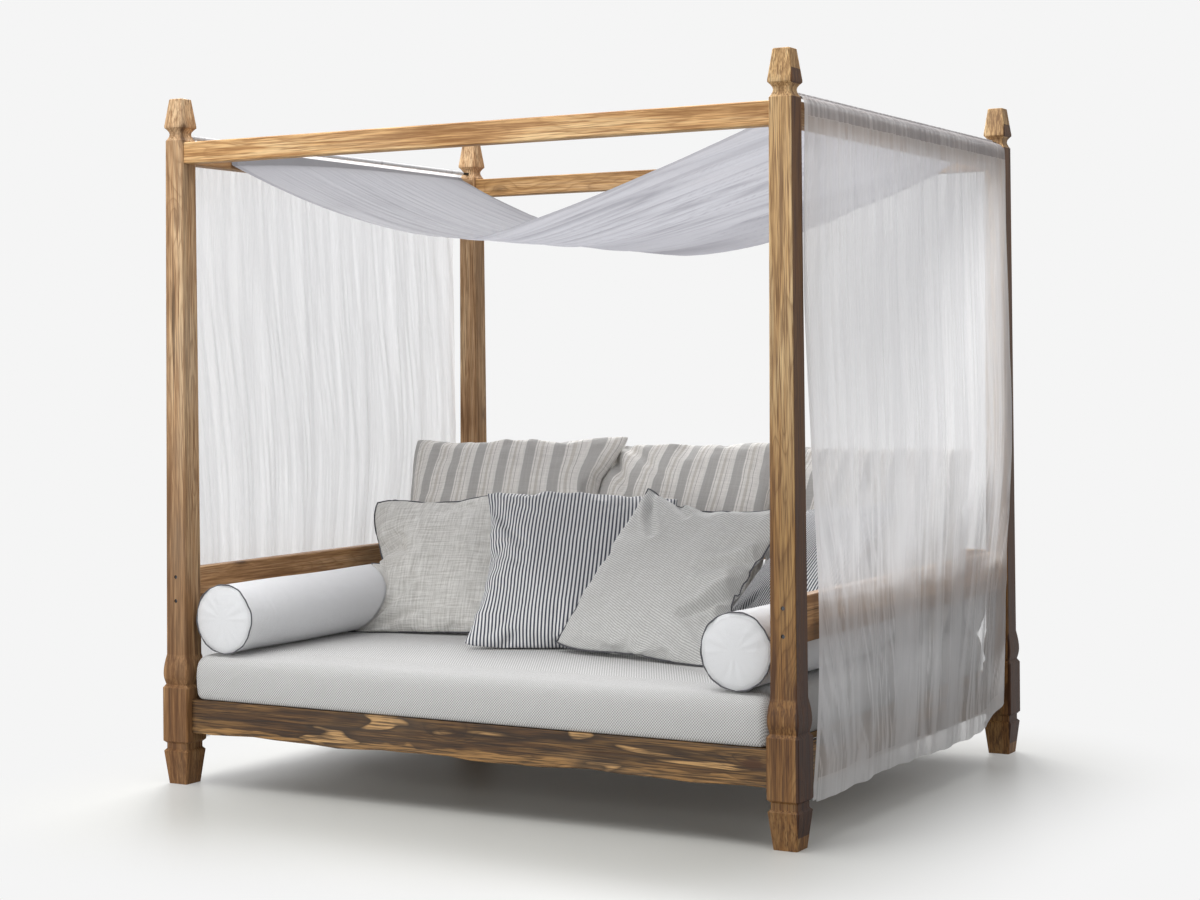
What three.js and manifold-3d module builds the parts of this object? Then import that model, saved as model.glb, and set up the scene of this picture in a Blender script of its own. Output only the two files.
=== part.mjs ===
// Outdoor daybed with canopy. Four square teak posts carry lower, arm and top rails;
// a slatted deck carries the mattress; rods above the side rails carry the curtains,
// and a roof cloth sags between the side rails. Bolsters, cushions and pillows lie on the mattress.
// Millimetres. Seen from the front, +X is to the right; +Y is to the back and +Z up.
// The origin is the centre of the footprint, on the floor.

import * as THREE from 'three';
import { mergeVertices } from 'three/addons/utils/BufferGeometryUtils.js';
import Module from 'manifold-3d';

const wasm = await Module();
wasm.setup();

// Overall frame
const postSpacingX = 2140;
const postSpacingY = 1725;
const postHeight = 2200;
const edgeEase = 3;
const seatGap = 0.3;
const cutOverrun = 5;

// Post profile: half widths, and the heights from the floor or depths below the top at which they are reached
const footHalf = 36;
const footTopHalf = 48;
const footTop = 105;
const notchHalf = 41;
const notchLow = 113;
const notchHigh = 130;
const blockHalf = 49.5;
const blockLow = 138;
const blockHigh = 308;
const grooveHalf = 42;
const grooveHeight = 319;
const flareHalf = 48;
const flareHeight = 353;
const shaftLowHalf = 40;
const shaftLow = 415;
const shaftHighHalf = 34.5;
const shaftHighDepth = 135;
const coveHalf = 25.5;
const coveDepth = 113;
const finialHalf = 37.5;
const finialLowDepth = 93;
const finialHighDepth = 87;
const finialTopHalf = 26;
const finialTopEase = 2;

// Joinery
const tenonThickness = 16;
const tenonWeb = 3;

// Lower rails
const lowerRailTop = 272;
const lowerRailHeight = 107;
const lowerRailThickness = 45;
const lowerTenonHeight = 60;
const liveEdgeDepth = 4;
const liveEdgeLength = 610;
const liveEdgeRings = 26;

// Arm rails and back rest rail
const armRailTop = 690;
const armRailHeight = 129;
const armRailThickness = 42;
const armTenonHeight = 40;

// Top rails
const topRailDepth = 142;
const topRailHeight = 68;
const topRailThickness = 52;
const topTenonHeight = 36;

// Arm rail bolts
const boltSpacing = 77;
const boltHeadRadius = 6;
const boltHeadLength = 6;
const boltRecess = 3;
const boltShankRadius = 3;
const boltReach = 42;
const boltClearance = 0.3;
const boltSides = 12;

// Deck: ledgers, centre beam and slats
const slatThickness = 18;
const slatWidth = 92;
const slatCount = 12;
const deckSideGap = 12.5;
const slatEndGap = 1;
const ledgerHeight = 30;
const ledgerThickness = 30;
const beamHeight = 70;
const beamThickness = 40;
const beamTenonLength = 20;

// Curtain rods
const rodRadius = 5;
const rodDepth = 120;
const rodSeat = 12;
const rodClearance = 0.3;
const rodSides = 12;

// Cloth
const clothThickness = 2.4;
const sleeveClearance = 0.5;
const sleeveSteps = 4;

// Curtains
const curtainPlane = 41;
const curtainShoulder = 31;
const curtainShoulderDrop = 3;
const curtainHeaderDrop = 22;
const curtainHem = 125;
const curtainCornerRise = 62;
const curtainFoldDepth = 8;
const curtainFolds = 9;
const columnsPerFold = 4;
const leadingHemWidth = 24;
const leadingHemGap = 0.6;
const curtainFrontInset = 104;
const curtainBackInset = 150;

// Roof cloth
const roofHemWidth = 14;
const roofEdgeClearance = 2;
const roofEdgeDrop = 8;
const roofCornerDroop = 46;
const roofSag = 322;
const roofFrontInsetLeft = 225;
const roofFrontInsetRight = 102;
const roofBackInset = 110;
const roofFoldDepth = 9;
const roofFolds = 4;
const roofColumns = 22;
const roofRows = 9;

// Mattress
const mattressHeight = 148;
const mattressSideGap = 2.5;
const mattressFrontFace = 24;
const mattressBackGap = 3;
const mattressEdge = 14;
const mattressCornerSteps = 5;
const mattressCrown = 7;
const mattressCrownWidth = 62;
const mattressCorner = 34;

// Bolsters
const bolsterRadius = 110;
const bolsterEndBulge = 9;
const pipingRadius = 2;
const bolsterPostGap = 11;
const bolsterRailGap = 1.5;
const bolsterOverhang = 8;
const sideBolsterLength = 930;
const backBolsterEndGap = 39;
const bolsterSides = 16;

// Back cushions: their widths are shares of the post spacing. Their middles stand at a share of the way from the
// bed's middle to a post's, and so far before the back posts' line, with lean, turn and roll in degrees
const cushionSeam = 8;
const cushionHeight = 710;
const cushionThickness = 212;
const cushionPlaces = {
  left: { widthShare: 0.3364, acrossShare: -0.645, backGap: 438, lean: 28, turn: 13.6, roll: 0.8 },
  middle: { widthShare: 0.3224, acrossShare: -0.017, backGap: 278, lean: 28, turn: 0, roll: 0 },
  right: { widthShare: 0.3224, acrossShare: 0.63, backGap: 280, lean: 28, turn: 0, roll: 0 },
};

// Loose pillows, square, placed in the same way
const pillowSeam = 6;
const pillowSink = 6;
const pillowShapes = {
  linen: { width: 560, thickness: 140 },
  navy_stripe: { width: 660, thickness: 140 },
  grey: { width: 600, thickness: 124 },
  fine_stripe: { width: 580, thickness: 130 },
};
const pillowPlaces = {
  linen: { acrossShare: -0.6075, backGap: 817, lean: 38.5, turn: 8, roll: 6.3, sink: 18 },
  navy_stripe: { acrossShare: -0.0766, backGap: 924, lean: 45.4, turn: 26.5, roll: -2.7 },
  grey: { acrossShare: 0.3374, backGap: 1064, lean: 41.6, turn: -8.4, roll: -4.5 },
  fine_stripe: { acrossShare: 0.6355, backGap: 742, lean: 42, turn: -40, roll: 8 },
};

const materials = {
  teak: { color: 0xb08350, roughness: 0.62, metalness: 0 },
  agedTeak: { color: 0x86603a, roughness: 0.7, metalness: 0 },
  deckWood: { color: 0xbd9a6c, roughness: 0.75, metalness: 0 },
  darkSteel: { color: 0x3a3a3c, roughness: 0.45, metalness: 0.9 },
  curtainCloth: { color: 0xe9eaec, roughness: 0.9, metalness: 0 },
  roofCloth: { color: 0xcfd0da, roughness: 0.9, metalness: 0 },
  mattressCloth: { color: 0xd2d3d2, roughness: 0.92, metalness: 0 },
  bolsterCloth: { color: 0xe2e4e6, roughness: 0.92, metalness: 0 },
  stripedCloth: { color: 0xdcdad6, roughness: 0.92, metalness: 0 },
  linenCloth: { color: 0xbdbbb3, roughness: 0.94, metalness: 0 },
  navyStripeCloth: { color: 0x8b8f9c, roughness: 0.92, metalness: 0 },
  greyCloth: { color: 0xb4b5b2, roughness: 0.94, metalness: 0 },
};

const daybed = new THREE.Group();
daybed.name = 'daybed';

const postX = postSpacingX / 2;
const postY = postSpacingY / 2;
const shaftHigh = postHeight - shaftHighDepth;
const topRailTop = postHeight - topRailDepth;
const rodHeight = postHeight - rodDepth;

// Adds a named piece to the group
function addPiece(name, geometry, finish) {
  const material = new THREE.MeshStandardMaterial(materials[finish]);
  const mesh = new THREE.Mesh(geometry, material);
  mesh.name = name;
  daybed.add(mesh);
  return mesh;
}

// Shape helpers

function indexedGeometry(points, triangles) {
  const geometry = new THREE.BufferGeometry();
  const values = points.flatMap((p) => [p.x, p.y, p.z]);
  geometry.setAttribute('position', new THREE.Float32BufferAttribute(values, 3));
  geometry.setIndex(triangles);
  return geometry;
}

// Joins rings of equal counts, each anticlockwise about the direction in which they follow, and caps both ends
function loftRings(rings) {
  const count = rings[0].length;
  const triangles = [];
  for (let k = 0; k + 1 < rings.length; k += 1) {
    for (let i = 0; i < count; i += 1) {
      const j = (i + 1) % count;
      const a = k * count + i;
      const b = k * count + j;
      triangles.push(a, b, b + count, a, b + count, a + count);
    }
  }
  const last = (rings.length - 1) * count;
  for (let i = 1; i + 1 < count; i += 1) {
    triangles.push(0, i + 1, i, last, last + i, last + i + 1);
  }
  return indexedGeometry(rings.flat(), triangles);
}

// Corners of a rectangle with eased edges, anticlockwise, as [across, up] pairs
function easedRectangle(halfAcross, halfUp, ease) {
  const a = halfAcross;
  const u = halfUp;
  return [
    [a, ease - u], [a, u - ease], [a - ease, u], [ease - a, u],
    [-a, u - ease], [-a, ease - u], [ease - a, -u], [a - ease, -u],
  ];
}

function circlePoints(radius, sides) {
  return Array.from({ length: sides }, (_, i) => {
    const angle = (i / sides) * Math.PI * 2;
    return [radius * Math.cos(angle), radius * Math.sin(angle)];
  });
}

// A round piece on the Y axis from a profile of [radius, along] pairs, then moved to its place
function turnedPiece(profile, sides, place) {
  const rings = profile.map(([radius, along]) => circlePoints(radius, sides)
    .map(([z, x]) => new THREE.Vector3(x, along, z)));
  const geometry = loftRings(rings);
  return geometry.applyMatrix4(place);
}

function toSolid(geometry) {
  const bare = new THREE.BufferGeometry();
  bare.setAttribute('position', geometry.getAttribute('position'));
  bare.setIndex(geometry.getIndex());
  const merged = mergeVertices(bare);
  return new wasm.Manifold(new wasm.Mesh({
    numProp: 3,
    vertProperties: merged.getAttribute('position').array,
    triVerts: new Uint32Array(merged.getIndex().array),
  }));
}

function toGeometry(solid) {
  const mesh = solid.getMesh();
  const geometry = new THREE.BufferGeometry();
  const positions = new Float32Array(mesh.vertProperties);
  geometry.setAttribute('position', new THREE.BufferAttribute(positions, 3));
  geometry.setIndex(new THREE.BufferAttribute(new Uint32Array(mesh.triVerts), 1));
  return geometry;
}

function cutAway(geometry, cutters) {
  let solid = toSolid(geometry);
  for (const cutter of cutters) solid = solid.subtract(toSolid(cutter));
  return toGeometry(solid);
}

// A plain box between two corners
function boxBetween(low, high) {
  const size = high.clone().sub(low);
  const middle = high.clone().add(low).multiplyScalar(0.5);
  return new THREE.BoxGeometry(size.x, size.y, size.z).translate(middle.x, middle.y, middle.z);
}

const turnToY = (turned) => (turned ? new THREE.Matrix4().makeRotationZ(Math.PI / 2) : new THREE.Matrix4());

// Posts

const shaftHalfAt = (height) => THREE.MathUtils.mapLinear(
  height, shaftLow, shaftHigh, shaftLowHalf, shaftHighHalf);

// Eased steps from one half width to another: bulging where bulge is true, hollow where it is not
function curvedSteps([fromHalf, fromHeight], [toHalf, toHeight], steps, bulge) {
  return Array.from({ length: steps }, (_, i) => {
    const turn = ((i + 1) / steps) * Math.PI / 2;
    const outwards = bulge ? Math.sin(turn) : 1 - Math.cos(turn);
    const upwards = (i + 1) / steps;
    return [
      THREE.MathUtils.lerp(fromHalf, toHalf, outwards),
      THREE.MathUtils.lerp(fromHeight, toHeight, upwards),
    ];
  });
}

function postProfile() {
  const cove = [coveHalf, postHeight - coveDepth];
  return [
    [footHalf, 0],
    [footTopHalf, footTop],
    [notchHalf, notchLow],
    [notchHalf, notchHigh],
    [blockHalf, blockLow],
    [blockHalf, blockHigh],
    [grooveHalf, grooveHeight],
    ...curvedSteps([grooveHalf, grooveHeight], [flareHalf, flareHeight], 4, true),
    ...curvedSteps([flareHalf, flareHeight], [shaftLowHalf, shaftLow], 5, false)
      .map(([half, height], i, all) => [i === all.length - 1 ? shaftLowHalf : half, height]),
    [shaftHighHalf, shaftHigh],
    ...curvedSteps([shaftHighHalf, shaftHigh], cove, 3, true),
    ...curvedSteps(cove, [finialHalf, postHeight - finialLowDepth], 3, false),
    [finialHalf, postHeight - finialHighDepth],
    [finialTopHalf, postHeight - finialTopEase],
    [finialTopHalf - finialTopEase, postHeight],
  ];
}

const tenonLengthIn = (half) => half - tenonThickness / 2 - tenonWeb;

// A mortise in a post for a rail that meets it from the side given by direction, at a height
function mortise(x, y, direction, half, height, tenonHeight) {
  const wide = tenonThickness / 2 + seatGap;
  const deep = half - tenonLengthIn(half) - seatGap;
  const out = half + cutOverrun;
  const low = height - tenonHeight / 2 - seatGap;
  const high = height + tenonHeight / 2 + seatGap;
  const along = direction.x || direction.y;
  const span = [Math.min(along * deep, along * out), Math.max(along * deep, along * out)];
  return direction.x
    ? boxBetween(new THREE.Vector3(x + span[0], y - wide, low), new THREE.Vector3(x + span[1], y + wide, high))
    : boxBetween(new THREE.Vector3(x - wide, y + span[0], low), new THREE.Vector3(x + wide, y + span[1], high));
}

const lowerRailMiddle = lowerRailTop - lowerRailHeight / 2;
const armRailMiddle = armRailTop - armRailHeight / 2;
const topRailMiddle = topRailTop - topRailHeight / 2;
const boltHeights = [armRailMiddle - boltSpacing / 2, armRailMiddle + boltSpacing / 2];

const moved = (x, y, z) => new THREE.Matrix4().makeTranslation(x, y, z);

// Holes for the two bolts through a post, with the recess for their heads on its outer face
function boltHoles(x, side) {
  return boltHeights.map((height) => {
    const face = shaftHalfAt(height);
    const seat = boltRecess + boltHeadLength + seatGap;
    const profile = [
      [boltHeadRadius + boltClearance, -face - cutOverrun],
      [boltHeadRadius + boltClearance, -face + seat],
      [boltShankRadius + boltClearance, -face + seat],
      [boltShankRadius + boltClearance, face + cutOverrun],
    ];
    const place = moved(x, side * postY, height)
      .multiply(new THREE.Matrix4().makeRotationZ(side < 0 ? 0 : Math.PI));
    return turnedPiece(profile, boltSides, place);
  });
}

// The hole in a post that holds the end of the curtain rod
function rodSocket(x, side) {
  const inner = coveHalf - rodSeat - seatGap;
  const profile = [
    [rodRadius + rodClearance, inner],
    [rodRadius + rodClearance, shaftHighHalf + cutOverrun],
  ];
  const place = moved(x, side * postY, rodHeight)
    .multiply(new THREE.Matrix4().makeRotationZ(side < 0 ? 0 : Math.PI));
  return turnedPiece(profile, rodSides, place);
}

function addPost(name, sideX, sideY) {
  const x = sideX * postX;
  const y = sideY * postY;
  const rings = postProfile().map(([half, height]) => easedRectangle(half, half, edgeEase)
    .map(([px, py]) => new THREE.Vector3(x + px, y + py, height)));
  const inX = new THREE.Vector2(-sideX, 0);
  const inY = new THREE.Vector2(0, -sideY);
  const armHalf = shaftHalfAt(armRailMiddle);
  const topHalf = shaftHalfAt(topRailMiddle);
  const cutters = [
    mortise(x, y, inX, blockHalf, lowerRailMiddle, lowerTenonHeight),
    mortise(x, y, inY, blockHalf, lowerRailMiddle, lowerTenonHeight),
    mortise(x, y, inY, armHalf, armRailMiddle, armTenonHeight),
    mortise(x, y, inX, topHalf, topRailMiddle, topTenonHeight),
    mortise(x, y, inY, topHalf, topRailMiddle, topTenonHeight),
    ...boltHoles(x, sideY),
    rodSocket(x, sideY),
  ];
  if (sideY > 0) cutters.push(mortise(x, y, inX, armHalf, armRailMiddle, armTenonHeight));
  addPiece(name, cutAway(loftRings(rings), cutters), 'teak');
}

addPost('post_front_left', -1, -1);
addPost('post_front_right', 1, -1);
addPost('post_back_left', -1, 1);
addPost('post_back_right', 1, 1);

// Rails

// A rail along X with a stub tenon at each end; lowerEdge gives how far its lower edge dips at a place along it
function railGeometry({ span, thickness, height, tenonLength, tenonHeight, rings = 2, lowerEdge = () => 0 }) {
  const end = span / 2;
  const tenon = easedRectangle(tenonThickness / 2, tenonHeight / 2, edgeEase);
  const section = easedRectangle(thickness / 2, height / 2, edgeEase);
  const ringAt = (outline, x) => outline.map(([y, z]) => {
    const dip = z < 0 && outline === section ? lowerEdge(x) : 0;
    return new THREE.Vector3(x, y, z - dip);
  });
  const body = Array.from({ length: rings }, (_, i) => ringAt(section, (i / (rings - 1) - 1 / 2) * span));
  return loftRings([
    ringAt(tenon, -end - tenonLength),
    ringAt(tenon, -end),
    ...body,
    ringAt(tenon, end),
    ringAt(tenon, end + tenonLength),
  ]);
}

// The natural lower edge of the front plank: two gentle waves, none at the shoulders
function liveEdge(x) {
  const end = postX - blockHalf;
  const fade = 1 - (x / end) ** 8;
  const wave = Math.sin(x / liveEdgeLength * Math.PI * 2) + Math.sin(x / liveEdgeLength * Math.PI * 5) / 2;
  return fade * liveEdgeDepth * wave;
}

function railPlaced(shape, alongY, x, y, height) {
  return railGeometry(shape).applyMatrix4(moved(x, y, height).multiply(turnToY(alongY)));
}

const lowerRail = {
  thickness: lowerRailThickness,
  height: lowerRailHeight,
  tenonLength: tenonLengthIn(blockHalf),
  tenonHeight: lowerTenonHeight,
};
const lowerSpanX = postSpacingX - (blockHalf + seatGap) * 2;
const lowerSpanY = postSpacingY - (blockHalf + seatGap) * 2;

function addLowerRails() {
  const front = { ...lowerRail, span: lowerSpanX, rings: liveEdgeRings, lowerEdge: liveEdge };
  addPiece('lower_rail_front', railPlaced(front, false, 0, -postY, lowerRailMiddle), 'agedTeak');
  const back = { ...lowerRail, span: lowerSpanX };
  addPiece('lower_rail_back', railPlaced(back, false, 0, postY, lowerRailMiddle), 'agedTeak');
  for (const [side, name] of [[-1, 'left'], [1, 'right']]) {
    const rail = railPlaced({ ...lowerRail, span: lowerSpanY }, true, side * postX, 0, lowerRailMiddle);
    addPiece(`lower_rail_${name}`, cutAway(rail, [beamMortise(side)]), 'agedTeak');
  }
}

// Arm rails take the ends of the bolts
function railBoltHoles(x) {
  const end = postY - shaftHalfAt(armRailTop - armRailHeight);
  return [-1, 1].flatMap((side) => boltHeights.map((height) => {
    const profile = [
      [boltShankRadius + boltClearance, -boltReach - boltClearance],
      [boltShankRadius + boltClearance, cutOverrun],
    ];
    const place = moved(x, side * end, height)
      .multiply(new THREE.Matrix4().makeRotationZ(side > 0 ? 0 : Math.PI));
    return turnedPiece(profile, boltSides, place);
  }));
}

function addArmRails() {
  const shoulder = shaftHalfAt(armRailTop - armRailHeight) + seatGap;
  const rail = {
    thickness: armRailThickness,
    height: armRailHeight,
    tenonLength: tenonLengthIn(shaftHalfAt(armRailMiddle)),
    tenonHeight: armTenonHeight,
  };
  for (const [side, name] of [[-1, 'left'], [1, 'right']]) {
    const shape = { ...rail, span: postSpacingY - shoulder * 2 };
    const placed = railPlaced(shape, true, side * postX, 0, armRailMiddle);
    addPiece(`arm_rail_${name}`, cutAway(placed, railBoltHoles(side * postX)), 'teak');
  }
  const back = { ...rail, span: postSpacingX - shoulder * 2 };
  addPiece('rest_rail_back', railPlaced(back, false, 0, postY, armRailMiddle), 'teak');
}

function addTopRails() {
  const shoulder = shaftHalfAt(topRailTop - topRailHeight) + seatGap;
  const rail = {
    thickness: topRailThickness,
    height: topRailHeight,
    tenonLength: tenonLengthIn(shaftHalfAt(topRailMiddle)),
    tenonHeight: topTenonHeight,
  };
  const across = { ...rail, span: postSpacingX - shoulder * 2 };
  const along = { ...rail, span: postSpacingY - shoulder * 2 };
  addPiece('top_rail_front', railPlaced(across, false, 0, -postY, topRailMiddle), 'teak');
  addPiece('top_rail_back', railPlaced(across, false, 0, postY, topRailMiddle), 'teak');
  addPiece('top_rail_left', railPlaced(along, true, -postX, 0, topRailMiddle), 'teak');
  addPiece('top_rail_right', railPlaced(along, true, postX, 0, topRailMiddle), 'teak');
}

// Deck

const deckHalfWidth = postX - blockHalf - deckSideGap;
const slatTop = lowerRailTop;
const slatUnderside = slatTop - slatThickness;

function beamMortise(side) {
  const face = side * (postX - lowerRailThickness / 2);
  const inside = face - side * cutOverrun;
  const deep = face + side * (beamTenonLength + seatGap);
  const wide = beamThickness / 2 + seatGap;
  return boxBetween(
    new THREE.Vector3(Math.min(inside, deep), -wide, slatUnderside - beamHeight - seatGap),
    new THREE.Vector3(Math.max(inside, deep), wide, slatUnderside + seatGap));
}

function addDeck() {
  const railInside = postY - lowerRailThickness / 2;
  for (const [side, name] of [[-1, 'front'], [1, 'back']]) {
    const outer = side * railInside;
    const inner = side * (railInside - ledgerThickness);
    addPiece(`ledger_${name}`, boxBetween(
      new THREE.Vector3(-deckHalfWidth, Math.min(outer, inner), slatUnderside - ledgerHeight),
      new THREE.Vector3(deckHalfWidth, Math.max(outer, inner), slatUnderside)), 'deckWood');
  }
  const beamEnd = postX - lowerRailThickness / 2 + beamTenonLength;
  addPiece('deck_beam', boxBetween(
    new THREE.Vector3(-beamEnd, -beamThickness / 2, slatUnderside - beamHeight),
    new THREE.Vector3(beamEnd, beamThickness / 2, slatUnderside)), 'deckWood');
  const slatEnd = railInside - slatEndGap;
  const pitch = (deckHalfWidth * 2 - slatWidth) / (slatCount - 1);
  for (let i = 0; i < slatCount; i += 1) {
    const x = slatWidth / 2 - deckHalfWidth + pitch * i;
    const outline = easedRectangle(slatWidth / 2, slatThickness / 2, edgeEase);
    const ringAt = (y) => outline.map(([px, pz]) => new THREE.Vector3(x - px, y, slatTop - slatThickness / 2 + pz));
    addPiece(`slat_${i + 1}`, loftRings([ringAt(-slatEnd), ringAt(slatEnd)]), 'deckWood');
  }
}

addLowerRails();
addArmRails();
addTopRails();
addDeck();

// Bolts and rods

function addBolts() {
  for (const [sideX, nameX] of [[-1, 'left'], [1, 'right']]) {
    for (const [sideY, nameY] of [[-1, 'front'], [1, 'back']]) {
      boltHeights.forEach((height, i) => {
        const face = shaftHalfAt(height);
        const railEnd = shaftHalfAt(armRailTop - armRailHeight);
        const head = -face + boltRecess;
        const profile = [
          [boltHeadRadius, head],
          [boltHeadRadius, head + boltHeadLength],
          [boltShankRadius, head + boltHeadLength],
          [boltShankRadius, railEnd + boltReach],
        ];
        const place = moved(sideX * postX, sideY * postY, height)
          .multiply(new THREE.Matrix4().makeRotationZ(sideY < 0 ? 0 : Math.PI));
        const name = `arm_bolt_${nameY}_${nameX}_${i === 0 ? 'lower' : 'upper'}`;
        addPiece(name, turnedPiece(profile, boltSides, place), 'darkSteel');
      });
    }
  }
}

function addRods() {
  const end = postY - coveHalf + rodSeat;
  for (const [side, name] of [[-1, 'left'], [1, 'right']]) {
    const profile = [[rodRadius, -end], [rodRadius, end]];
    addPiece(`curtain_rod_${name}`, turnedPiece(profile, rodSides, moved(side * postX, 0, rodHeight)), 'darkSteel');
  }
}

addBolts();
addRods();

// Cloth

// A closed sheet of cloth round a grid of points, grid[row][column]
function clothSheet(grid, thickness) {
  const rows = grid.length;
  const columns = grid[0].length;
  const at = (r, c) => grid[THREE.MathUtils.clamp(r, 0, rows - 1)][THREE.MathUtils.clamp(c, 0, columns - 1)];
  const sides = [1, -1].map((side) => grid.map((line, r) => line.map((point, c) => {
    const down = at(r + 1, c).clone().sub(at(r - 1, c));
    const across = at(r, c + 1).clone().sub(at(r, c - 1));
    const normal = down.cross(across).normalize();
    return point.clone().addScaledVector(normal, side * thickness / 2);
  })));
  const points = sides.flat(2);
  const size = rows * columns;
  const triangles = [];
  for (let r = 0; r + 1 < rows; r += 1) {
    for (let c = 0; c + 1 < columns; c += 1) {
      const a = r * columns + c;
      const b = a + columns;
      triangles.push(a, b, b + 1, a, b + 1, a + 1);
      triangles.push(size + a, size + b + 1, size + b, size + a, size + a + 1, size + b + 1);
    }
  }
  const rim = [];
  for (let c = 0; c < columns; c += 1) rim.push(c);
  for (let r = 1; r < rows; r += 1) rim.push(r * columns + columns - 1);
  for (let c = columns - 2; c >= 0; c -= 1) rim.push((rows - 1) * columns + c);
  for (let r = rows - 2; r > 0; r -= 1) rim.push(r * columns);
  rim.forEach((a, i) => {
    const b = rim[(i + 1) % rim.length];
    triangles.push(a, b, size + b, a, size + b, size + a);
  });
  return indexedGeometry(points, triangles);
}

// A value read off a list of [share, value] pairs with smooth steps between them
function alongList(list, share) {
  const next = Math.max(1, list.findIndex(([at]) => at >= share));
  const [fromShare, from] = list[next - 1];
  const [toShare, to] = list[next];
  const between = THREE.MathUtils.smootherstep(share, fromShare, toShare);
  return THREE.MathUtils.lerp(from, to, between);
}

// How far the curtain's edges stand in from the posts' centre lines, as shares of the two insets, by share of the drop
const frontInsetShares = [[0, 0.37], [0.3, 0.24], [0.55, 0.7], [0.8, 1], [1, 0.58]];
const backInsetShares = [[0, 0.42], [0.3, 0.34], [0.53, 0.3], [0.72, 0.78], [1, 1]];
const dropShares = [0, 0.22, 0.45, 0.66, 0.84, 1];
const foldDepthShares = [[0, 0.2], [0.3, 0.75], [0.7, 1], [1, 1.1]];

// The curtain's line over the rod, past the rail's outer edge and down, as [out from the rod, height, share of the drop]
function curtainLine() {
  const radius = rodRadius + sleeveClearance + clothThickness / 2;
  const sleeve = Array.from({ length: sleeveSteps + 1 }, (_, i) => {
    const angle = Math.PI * (1 - i / sleeveSteps);
    return [radius * Math.cos(angle), rodHeight + radius * Math.sin(angle), 0];
  });
  const shoulder = [curtainShoulder, topRailTop + curtainShoulderDrop, 0];
  const top = topRailTop - curtainHeaderDrop;
  const drop = dropShares.map((share) => [curtainPlane, THREE.MathUtils.lerp(top, curtainHem, share), share]);
  return [...sleeve, shoulder, ...drop];
}

const curtainFrontY = (share) => curtainFrontInset * alongList(frontInsetShares, share) - postY;
const curtainBackY = (share) => postY - curtainBackInset * alongList(backInsetShares, share);

function curtainPoint(side, [out, height, share], across, folds) {
  const front = curtainFrontY(share) + (folds ? leadingHemWidth + leadingHemGap : 0);
  const back = folds ? curtainBackY(share) : front + leadingHemWidth;
  const depth = folds ? curtainFoldDepth * alongList(foldDepthShares, share) : 0;
  const uneven = across + Math.sin(across * Math.PI * 4) / (curtainFolds * 5);
  const fold = depth * (1 - Math.cos(uneven * curtainFolds * Math.PI * 2)) * (out < curtainPlane ? 0 : 1);
  const cornerRise = curtainCornerRise * THREE.MathUtils.smoothstep(across, 0.86, 1) * share ** 8;
  return new THREE.Vector3(
    side * (postX + out + fold),
    THREE.MathUtils.lerp(front, back, across),
    height + (folds ? cornerRise : 0));
}

function addCurtain(side, name) {
  const line = curtainLine();
  const sheetOf = (columns, folds) => {
    const grid = line.map((place) => Array.from({ length: columns + 1 },
      (_, i) => curtainPoint(side, place, i / columns, folds)));
    return clothSheet(side > 0 ? grid.map((row) => row.reverse()) : grid, clothThickness);
  };
  addPiece(`curtain_${name}`, sheetOf(curtainFolds * columnsPerFold, true), 'curtainCloth');
  addPiece(`curtain_hem_${name}`, sheetOf(1, false), 'curtainCloth');
}

addCurtain(-1, 'left');
addCurtain(1, 'right');

// The roof's sag is steeper towards one rail than the other, and differs between its front and back edges
const roofLowShare = -0.06;
const sagPowers = { left: [1.75, 1.55], right: [1.3, 1.85] };

function roofHeight(acrossShare, depthShare) {
  const fromLow = acrossShare - roofLowShare * (1 - acrossShare ** 2);
  const [frontPower, backPower] = fromLow < 0 ? sagPowers.left : sagPowers.right;
  const power = THREE.MathUtils.lerp(frontPower, backPower, depthShare);
  const droop = roofCornerDroop * THREE.MathUtils.clamp(-acrossShare, 0, 1) ** 3 * (1 - depthShare) ** 3;
  const edge = topRailTop - roofEdgeDrop - droop;
  return edge - roofSag * (1 - Math.abs(fromLow) ** power);
}

// Folds fan out from the front right corner
function roofFold(acrossShare, depthShare) {
  const fromCorner = Math.atan2(depthShare, (1 - acrossShare) / 2);
  const fade = Math.sin(Math.PI * (acrossShare + 1) / 2) * Math.min(1, depthShare * 3);
  return roofFoldDepth * fade * Math.sin(fromCorner * roofFolds * 4);
}

function addRoof() {
  const inner = postX - topRailThickness / 2;
  const half = clothThickness / 2 + seatGap;
  const spanHalf = inner - half - roofEdgeClearance;
  const across = [[inner + edgeEase + roofHemWidth, 'hem'], [inner + edgeEase, 'hem'], [spanHalf, 'lip']];
  const columns = Array.from({ length: roofColumns + 1 }, (_, i) => [spanHalf * (1 - i / roofColumns * 2), 'span']);
  const path = [...across, ...columns, ...across.map(([x, kind]) => [-x, kind]).reverse()];
  const frontY = (x) => THREE.MathUtils.mapLinear(x, -postX, postX, roofFrontInsetLeft, roofFrontInsetRight) - postY;
  const grid = Array.from({ length: roofRows + 1 }, (_, r) => path.map(([x, kind]) => {
    const depthShare = r / roofRows;
    const y = THREE.MathUtils.lerp(frontY(x), postY - roofBackInset, depthShare);
    const share = THREE.MathUtils.clamp(x / spanHalf, -1, 1);
    const heights = {
      hem: topRailTop + half,
      lip: topRailTop - edgeEase,
      span: roofHeight(share, depthShare) + roofFold(share, depthShare),
    };
    return new THREE.Vector3(x, y, heights[kind]);
  }));
  addPiece('roof_cloth', clothSheet(grid, clothThickness), 'roofCloth');
}

addRoof();

// Mattress

const mattressBase = lowerRailTop + seatGap;
const mattressTop = mattressBase + mattressHeight;

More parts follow.
